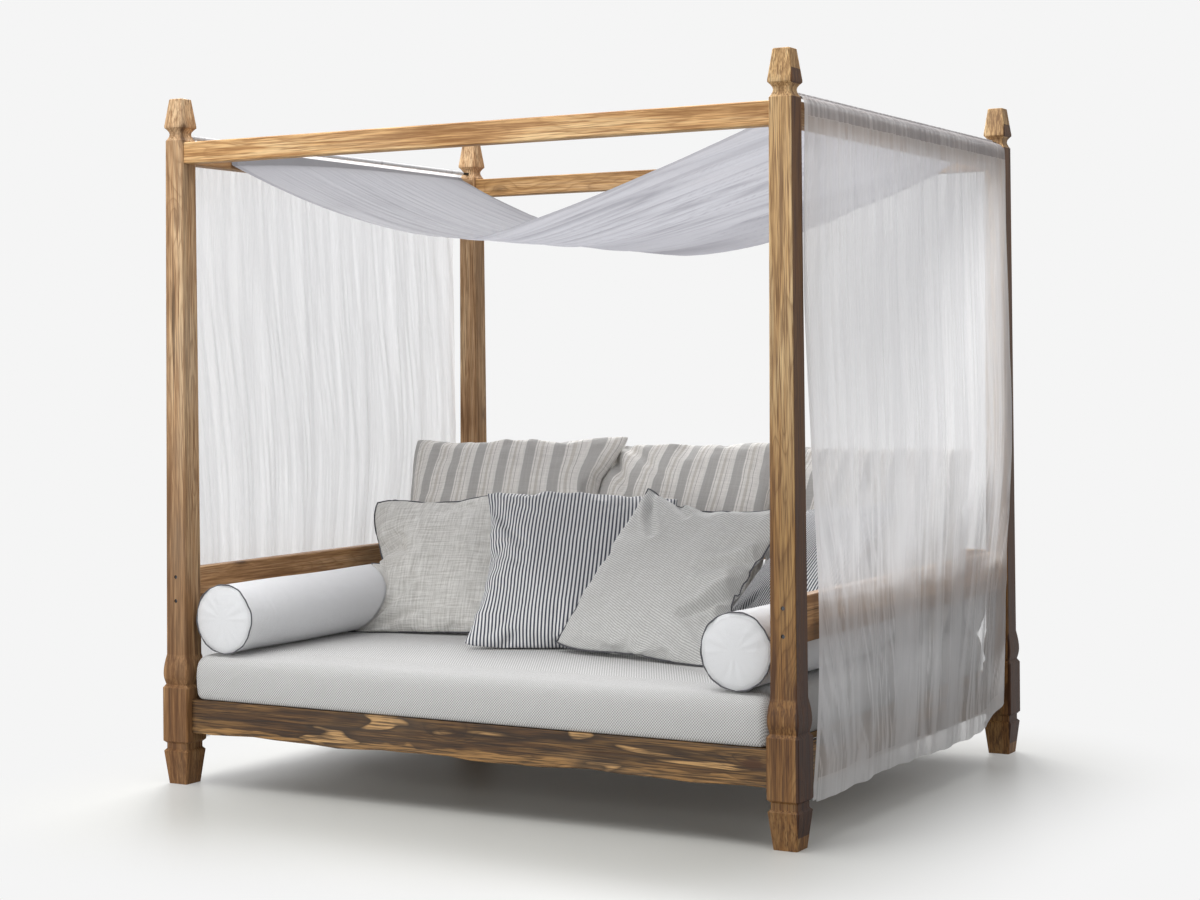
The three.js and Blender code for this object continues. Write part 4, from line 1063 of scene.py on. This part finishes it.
def add_mattress():
    """A boxed mattress: edges rolled above and below, sides that bulge a little, and an uneven upper edge."""
    low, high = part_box("mattress")
    centre = np.array(((low + high) / 2).to_2d())
    half = (high - low) / 2
    height = high.z - low.z
    weave = woven("mattress_weave", mattress_check, 1.4 * MM, 0.35 * MM, 0.05)
    rings = []
    cloth = []
    run = 0.0
    last = None
    for inset, up in MATTRESS_PROFILE:
        inset, up = inset * MM, up * MM * height / (MATTRESS_PROFILE[-1][1] * MM)
        outline = rounded_rectangle(half.x - inset, half.y - inset, 34 * MM, 40, 7)
        z = np.full(len(outline), low.z + up)
        ripple = 1.2 * MM * np.sin(outline[:, 0] * 9 + outline[:, 1] * 7) * np.clip((up - 0.1) / 0.04, 0, 1)
        rings.append(np.column_stack([outline + centre, z + ripple * (inset < 0.1)]))
        if last is not None:
            run += math.hypot(inset - last[0], up - last[1])
        last = (inset, up)
        side = np.abs(outline[:, 0]) / half.x < np.abs(outline[:, 1]) / half.y
        flat = outline.copy()
        flat += np.where(side[:, None], [[0, 1]], [[1, 0]]) * np.sign(outline) * -run
        cloth.append(flat)
    count = len(rings[0])
    points = np.concatenate(rings)
    cloth = np.concatenate(cloth)
    faces = grid_faces(len(rings), count, wrap=True)
    faces.append(tuple(range(count))[::-1])
    steps = 12
    base = (len(rings) - 1) * count
    inner = rings[-1]
    extra = []
    for k in range(1, steps):
        t = k / steps
        shrunk = inner.copy()
        shrunk[:, :2] = centre + (inner[:, :2] - centre) * (1 - t)
        extra.append(shrunk)
    points = np.concatenate([points, *extra, [[*centre, inner[0, 2]]]])
    inner_flat = cloth[-count:]
    cloth = np.concatenate([cloth] + [inner_flat * (1 - k / steps) for k in range(1, steps)] + [[[0, 0]]])
    for k in range(steps - 1):
        for i in range(count):
            j = (i + 1) % count
            a = base + k * count
            faces.append((a + i, a + j, a + count + j, a + count + i))
    a = base + (steps - 1) * count
    faces += [(a + i, a + (i + 1) % count, len(points) - 1) for i in range(count)]
    piece = mesh_object("padded_mattress", points, faces, weave, cloth)
    outward(piece)
    finish_piece(piece, "mattress", "mattress", "mattress_cloth")


# The back bolster is this much longer at each end than its solid
BACK_BOLSTER_BULGE = 22 * MM
# A bolster's end, from its middle to the seam: how far in along the bolster, and the share of its radius
BOLSTER_END = ((0, 0.02), (0.2 * MM, 0.3), (1.5 * MM, 0.6), (4 * MM, 0.85), (9 * MM, 0.985))
BOLSTER_SIDES = 48
PIPING_STEPS = 60


def bolster_cover(centre, axis, radius, half, phases):
    """A bolster's points and their places on the flat cloth, ring after ring from one end to the other: a
    round cover that sags a little, with pleats at its seams and puckered ends."""
    seam = half - BOLSTER_END[-1][0]
    side = seam - 3 * MM
    end = [(-half + inward, share) for inward, share in BOLSTER_END]
    between = [(t * side, 1.0) for t in np.linspace(-0.97, 0.97, 60)]
    other_end = [(-along, share) for along, share in reversed(end)]
    profile = [*end, (-side, 1.0), *between, (side, 1.0), *other_end]
    points, cloth = [], []
    for along, share in profile:
        ease = max(0.0, 1 - (along / seam) ** 8)
        for i in range(BOLSTER_SIDES):
            angle = i / BOLSTER_SIDES * 2 * math.pi
            sag = 1 - 0.01 * ease * (1 + math.sin(along * 11 + phases[0] + 2 * math.sin(angle + phases[1])))
            pleat = 0.008 * (1 - ease) * math.sin(angle * 26 + phases[2] + math.sin(angle * 5))
            pleat = pleat * (share > 0.9)
            pucker = math.sin(angle * 17 + phases[3] + 2 * math.sin(angle * 3)) - 0.4
            pucker = 2.2 * MM * share * pucker * (share < 0.9)
            r = radius * share * (sag + pleat)
            across_place, up = r * math.sin(angle), r * math.cos(angle)
            place = [centre.x, centre.y, centre.z + up]
            place[axis] += along + math.copysign(1, along) * min(pucker, 0)
            place[1 - axis] += across_place
            points.append(place)
            on_end = share < 0.98
            cloth.append((across_place, up) if on_end else (angle * radius, along))
    return points, np.array(cloth)


def bolster_seam(centre, axis, radius, seam, side):
    """The ring of a bolster's piping at one end, which wavers as a sewn seam does."""
    ring = []
    for i in range(PIPING_STEPS):
        angle = i / PIPING_STEPS * 2 * math.pi
        wobble = 1 + 0.008 * math.sin(5 * angle + side + axis) + 0.007 * math.sin(17 * angle + 2 * side)
        place = [centre.x, centre.y, centre.z + radius * wobble * math.cos(angle)]
        place[axis] += side * (seam + 2 * MM * math.sin(7 * angle + axis))
        place[1 - axis] += radius * wobble * math.sin(angle)
        ring.append(place)
    return ring


def add_bolsters(cords):
    """Round bolsters of canvas with a dark cord at each end."""
    canvas = woven("pale_grey_canvas", "#e2e3e5", 0.9 * MM, 0.25 * MM)
    dark_trim = woven("dark_bolster_trim", "#55555a", 1.0 * MM)
    for node, axis in (("bolster_left", 1), ("bolster_right", 1), ("bolster_back", 0)):
        low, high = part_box(node)
        centre = (low + high) / 2
        radius = (high.z - low.z) / 2 - 2 * MM
        half = (high[axis] - low[axis]) / 2 + (BACK_BOLSTER_BULGE if node == "bolster_back" else 0)
        phases = np.random.default_rng(len(node) * 7 + axis).uniform(0, 2 * math.pi, 6)
        points, cloth = bolster_cover(centre, axis, radius, half, phases)
        faces = grid_faces(len(points) // BOLSTER_SIDES, BOLSTER_SIDES, wrap=True)
        faces.append(tuple(range(BOLSTER_SIDES)))
        faces.append(tuple(range(len(points) - BOLSTER_SIDES, len(points))))
        piece = mesh_object("padded_" + node, points, faces, canvas, cloth)
        outward(piece)
        trims = []
        for side, label in ((-1, "first"), (1, "second")):
            ring = bolster_seam(centre, axis, radius, half - BOLSTER_END[-1][0], side)
            trims.append(piping(cords, f"{node}_piping_{label}", ring, 2.2 * MM, dark_trim))
        body = "mattress" if node == "bolster_back" else node
        finish_piece(piece, body, node, "bolster_cloth", trims)


# Curtains and roof

ROD_HEIGHT = (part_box("curtain_rod_right")[0].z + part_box("curtain_rod_right")[1].z) / 2
POST_X = 1.07

# A curtain hangs this far out from its rod, between these heights, with hems at its front edge and below
CURTAIN_PLANE = 0.0415
CURTAIN_TOP = 2.036
CURTAIN_HEM = 0.125
HEM_WIDTH = 0.024
HEM_HEIGHT = 0.064
HEM_DROP = 1 - HEM_HEIGHT / (CURTAIN_TOP - CURTAIN_HEM)
HEADER_DROP = 0.0085

# The sleeve goes round the rod, and from it the cloth comes out past the posts: [out from the rod, height]
SLEEVE_RADIUS = 6.9 * MM
SLEEVE_STEPS = 13
SHOULDER = ((0.021, 2.0755), (0.0335, 2.069), (0.0392, 2.057))

# Where the two upright edges are at each share of the drop
FRONT_EDGE = ([0, 0.25, 0.5, 0.75, 0.88, 1], [-0.824, -0.838, -0.795, -0.752, -0.765, -0.805])
BACK_EDGE = ([0, 0.3, 0.53, 0.72, 0.88, 1], [0.795, 0.81, 0.8225, 0.7445, 0.715, 0.7045])

# Crests on a curtain: denser lines of cloth, partly real and partly painted fold light and shade. Their
# columns: how many across, how often they change, where a crest starts, and its weight
CRESTS_LEFT = ((23, 1.5, 0.85, 0.25), (41, 2.6, 0.8, 0.5), (71, 5.1, 0.8, 0.5))
CRESTS_RIGHT = ((9, 0.9, 0.6, 0.4), (19, 1.3, 0.74, 0.8), (41, 2.6, 0.82, 0.9), (71, 5.1, 0.86, 0.6))


def curtain_line(count):
    """Down the curtain: [out from the rod, height, share of the drop], from round the rod to the hem."""
    line = []
    for i in range(SLEEVE_STEPS):
        angle = math.pi * 1.7 * (1 - i / (SLEEVE_STEPS - 1))
        line.append((SLEEVE_RADIUS * math.cos(angle), ROD_HEIGHT + SLEEVE_RADIUS * math.sin(angle), 0.0))
    line += [(out, height, 0.0) for out, height in SHOULDER]
    step = 0.001
    drops = [*np.linspace(0, 1, count), HEADER_DROP, HEADER_DROP + step, HEM_DROP, HEM_DROP + step]
    drops = np.sort(drops)
    for t in drops:
        line.append((CURTAIN_PLANE, CURTAIN_TOP + (CURTAIN_HEM - CURTAIN_TOP) * t, t))
    return line


def fold_depth(across_place, drop, seed):
    """Folds from 0 to 1: gathers at the rod that join into wider, wandering ones, with fine crinkles."""
    rng = np.random.default_rng(seed)
    depth = np.zeros(np.broadcast(across_place, drop).shape)
    for waves, size in ((5, 0.8), (9, 0.9), (14, 0.7), (23, 0.45)):
        phase, drift, bend = rng.uniform(0, 2 * math.pi, 3)
        wander = 1.3 * np.sin(drop * 2.6 + bend) + 0.5 * np.sin(drop * 6.1 + drift)
        grow = 0.2 + 0.8 * np.sqrt(drop) if waves < 12 else 0.75 - 0.35 * drop
        depth = depth + size * grow * np.sin(across_place * waves * 2 * math.pi + phase + wander)
    lean = across_place + 0.05 * np.sin(drop * 3.0 + phase)
    free = 1 - 0.85 * drop**5
    for columns, rows, size in ((19, 1.6, 0.55), (34, 3.0, 0.6), (61, 5.5, 0.42), (105, 9.0, 0.28)):
        depth = depth + size * free * (crinkle(lean * columns, drop * rows, seed + columns) - 0.5) * 2
    return 0.5 + depth / 4.6


def curtain_faces(side, rows, columns):
    """The faces of a curtain's grid, which look outwards on either side."""
    faces = grid_faces(rows, columns)
    return faces if side > 0 else [face[::-1] for face in faces]


def curtain(side, seed, material, header_density_and_shade):
    """A curtain, 1 for the right side and -1 for the left, and the hem on its leading edge. Both hang from a
    sleeve round the rod. The header number is how much denser the gathered header is than the cloth below it,
    with painted shade added: the right curtain's header is painted darker than the left's."""
    name = "right" if side > 0 else "left"
    line = curtain_line(96)
    columns = 330
    out, height, drop = np.array(line).T
    front = smooth_values(*FRONT_EDGE, drop)
    back = smooth_values(*BACK_EDGE, drop)
    run = np.concatenate([[0], np.cumsum(np.hypot(np.diff(out), np.diff(height)))])
    share = np.linspace(0, 1, columns)
    across, down = share[None, :], drop[:, None]

    # Folds, which start below the sleeve and flatten towards the leading edge
    start = front + HEM_WIDTH
    y = start[:, None] + (back - start)[:, None] * across
    reach = np.where(out < 0.0386, 0.0, 0.45 + 0.55 * np.clip(drop * 1.6, 0, 1))[:, None]
    lip = np.clip(share * 14, 0, 1)[None, :]
    fold = 24 * MM * reach * np.clip(fold_depth(across, down, seed), 0, 1) * lip

    # Gathers of the header, on the sleeve and just below it
    pleats = 0.6 * np.sin(share * 95 * math.pi + 2.5 * np.sin(share * 31))
    pleats = pleats * (0.5 + 0.5 * np.sin(share * 47 + 1))
    pleats = pleats + 0.4 * (crinkle(share * 61, np.zeros(columns) + 0.5, seed + 8) - 0.5)
    gathered = np.exp(-((drop / 0.05) ** 2)) * (out > 0.012) * (0.4 + 0.6 * (out > 0.03))
    swell = 1 + 0.14 * (np.arange(len(line)) < SLEEVE_STEPS)[:, None] * (pleats + 0.6)[None, :]
    fold = fold + 5 * MM * gathered[:, None] * (pleats + 0.1)[None, :] * lip

    # The lower back corner is caught up a little, and the hem waves
    corner = 0.062 * np.clip((share - 0.84) / 0.16, 0, 1)[None, :] ** 2 * (drop**8)[:, None]
    wave = 0.006 * np.sin(share * 9 + seed)[None, :] * drop[:, None] ** 6
    x = side * (POST_X + out[:, None] * swell + fold)
    z = ROD_HEIGHT + (height - ROD_HEIGHT)[:, None] * swell + corner + wave
    points = np.stack([x, y, z], -1).reshape(-1, 3)

    # Layers: one where the cloth is plain, more on crests, hem and header, and fewer low down on the right.
    # Painted light and shade ride on them: the right curtain is thinner low down with stronger crests there,
    # and the header is darker between its pleats and darker on the right
    low_part = np.clip(drop * 2 - 0.9, 0, 1)[:, None]
    shade = 1.0 - 0.42 * low_part * (side > 0)
    strength = 0.55 + 1.9 * low_part * (side > 0)
    spread = across + 0.35 * (across - 0.55) * low_part**2
    for count, rows, start_at, weight in CRESTS_RIGHT if side > 0 else CRESTS_LEFT:
        crest = crinkle(spread * count + down, down * rows, seed + count)
        shade = shade + weight * strength * np.clip((crest - start_at) / (1 - start_at), 0, 1) ** 1.4
    layers_and_shade = np.minimum(0.7 * (down > HEM_DROP) + shade, 2.15)
    layers_and_shade = layers_and_shade + (down <= HEADER_DROP) * (header_density_and_shade + 0.35 * np.clip(-pleats * 2, -0.6, 1)[None, :])

    width = float(1.15 * (back - start).max())
    cloth = np.stack([np.broadcast_to(share * width, y.shape), np.broadcast_to(run[:, None], y.shape)], -1)
    panel = mesh_object(
        f"voile_{name}", points, curtain_faces(side, len(line), columns), material, cloth.reshape(-1, 2),
        layers_and_shade.ravel())
    finish_piece(panel, "frame", f"curtain_{name}", "curtain_cloth")

    strip = 4
    hem_y = front[:, None] + HEM_WIDTH * np.linspace(0, 1, strip)[None, :]
    hem_x = side * (POST_X + out[:, None] + 0 * hem_y)
    hem_points = np.stack([hem_x, hem_y, height[:, None] + 0 * hem_y], -1).reshape(-1, 3)
    hem_cloth = np.stack([hem_y, np.broadcast_to(run[:, None], hem_y.shape)], -1).reshape(-1, 2)
    edge = mesh_object(
        f"voile_hem_{name}", hem_points, curtain_faces(side, len(line), strip), material, hem_cloth,
        np.full(len(hem_points), 2.0))
    finish_piece(edge, f"curtain_hem_{name}", f"curtain_hem_{name}", "curtain_cloth")

    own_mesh(panel)
    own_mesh(edge)


def add_curtains():
    # The doubled colour paints shade on the gathered header
    voile = sheer("white_cotton_voile", ("#f6f6f8", "#fcfcfd"), ("#c6c3c5", "#b8b6b7"), 0.42, 2.2, 0.5)
    # The right header gets more layers than the left, as painted shade
    curtain(1, 11, voile, 1.8)
    curtain(-1, 23, voile, 1.0)


# The roof hangs between the side top rails: their inner faces and top, and how far and where it sags most
ROOF_INNER = POST_X - 0.026
ROOF_TOP = 2.058
ROOF_SAG = 0.322
ROOF_LOW_SHARE = -0.06
# Its front edge runs a little forwards from left to right, and its back edge is straight
ROOF_FRONT_LEFT = -0.6375
ROOF_FRONT_RIGHT = -0.7605
ROOF_BACK = 0.7525
# The plain lip on a rail, from its outer end: [out, height]
ROOF_LIP = (
    (ROOF_INNER + 17 * MM, ROOF_TOP + 1.4 * MM), (ROOF_INNER + 3 * MM, ROOF_TOP + 1.4 * MM),
    (ROOF_INNER - 2.4 * MM, ROOF_TOP - 2 * MM),
)
# Folds of the roof: how many from front to back, how often they change across, and depth in millimetres
ROOF_FOLDS = ((5, 0.8, 12), (13, 0.9, 12), (27, 1.0, 10), (49, 1.2, 8), (90, 1.8, 4.5))


def roof_height(across_share, depth_share):
    """Height of the hanging roof: lowest left of the middle, with a curve that changes from front to back."""
    from_low = across_share - ROOF_LOW_SHARE * (1 - across_share**2)
    front = np.where(from_low < 0, 1.75, 1.3)
    back = np.where(from_low < 0, 1.55, 1.85)
    power = front + (back - front) * depth_share
    droop = 0.046 * np.clip(-across_share, 0, 1) ** 3 * (1 - depth_share) ** 3
    return ROOF_TOP - 0.008 - droop - ROOF_SAG * (1 - np.abs(from_low) ** power)


def add_roof():
    """The roof cloth: it hangs from a lip on each side top rail, with folds that fan out."""
    # The doubled colour is painted shade on the creases and the left part, and the colour of the hems
    muslin = sheer(
        "lilac_grey_muslin", ("#a9a9ae", "#afafb5"), ("#65646b", "#4f4e55"), 0.03, 1.0, 0.5, 0.03)
    columns, rows = 150, 260
    half = ROOF_INNER - 3.4 * MM
    x = np.linspace(half, -half, columns)
    depth = np.linspace(0, 1, rows)
    share = np.clip(x / half, -1, 1)
    height = roof_height(share[None, :], depth[:, None])
    across, back = share[None, :], depth[:, None]
    fade = np.sin(math.pi * (across + 1) / 2) ** 0.5 * np.clip(back * 9 + 0.25, 0, 1)
    fan = back * (1 + 0.55 * (1 - across) / 2) + 0.12 * np.sin(across * 2.2 + 0.6)
    folds = np.zeros((rows, columns))
    creases = np.zeros((rows, columns))
    for lines, along, size in ROOF_FOLDS:
        crest = crinkle(fan * lines, across * along + 9, lines)
        folds += size * MM * (crest**1.6 - 0.4)
        # Painted shade: each fold's crest is kept as a dark line, carried as extra layers
        creases = np.maximum(creases, np.clip((crest - 0.7) / 0.3, 0, 1) ** 2 * min(1.0, size / 9))
    taut = 0.45 + 0.55 * np.clip(across + 0.6, 0, 1)
    height = height + folds * fade * taut
    creases = np.pad(creases * fade * taut, ((0, 0), (len(ROOF_LIP), len(ROOF_LIP))))
    lip_out, lip_heights = np.array(ROOF_LIP).T
    wide = np.concatenate([lip_out, x, -lip_out[::-1]])
    full = np.concatenate([np.tile(lip_heights, (rows, 1)), height, np.tile(lip_heights[::-1], (rows, 1))], 1)
    front = ROOF_FRONT_LEFT + (ROOF_FRONT_RIGHT - ROOF_FRONT_LEFT) * (wide + POST_X) / (2 * POST_X)
    y = front[None, :] + (ROOF_BACK - front)[None, :] * depth[:, None]
    points = np.stack([np.broadcast_to(wide, full.shape), y, full], -1)
    steps = np.linalg.norm(np.diff(points, axis=1), axis=2)
    run = np.concatenate([np.zeros((rows, 1)), np.cumsum(steps, 1)], 1)
    cloth = np.stack([y, run], -1)
    roof_hem = 0.03
    hemmed = (y - front[None, :] < roof_hem) | (ROOF_BACK - y < roof_hem)
    # Painted shade: the left part of the roof gets extra layers, which darken it
    painted_left_shade = 0.62 * np.clip(0.1 - wide / POST_X, 0, 1)[None, :]
    layers_and_shade = 1 + painted_left_shade + np.maximum(creases, hemmed * 0.5)
    piece = mesh_object(
        "hanging_roof", points.reshape(-1, 3), grid_faces(rows, len(wide)), muslin,
        cloth.reshape(-1, 2), layers_and_shade.ravel())
    finish_piece(piece, "frame", "roof_cloth", "roof_cloth")


def write_sizes():
    """Works out the CAD box and the dressed box as plain lists, which are then left unused."""
    boxes = {"cad": cad_bounds, "visual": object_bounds()}
    plain = {key: [[float(c) for c in corner] for corner in value] for key, value in boxes.items()}


studio()
paint_frame()
sewn_cord = cord_tree()
add_padded(sewn_cord)
add_mattress()
add_bolsters(sewn_cord)
add_curtains()
add_roof()
write_sizes()
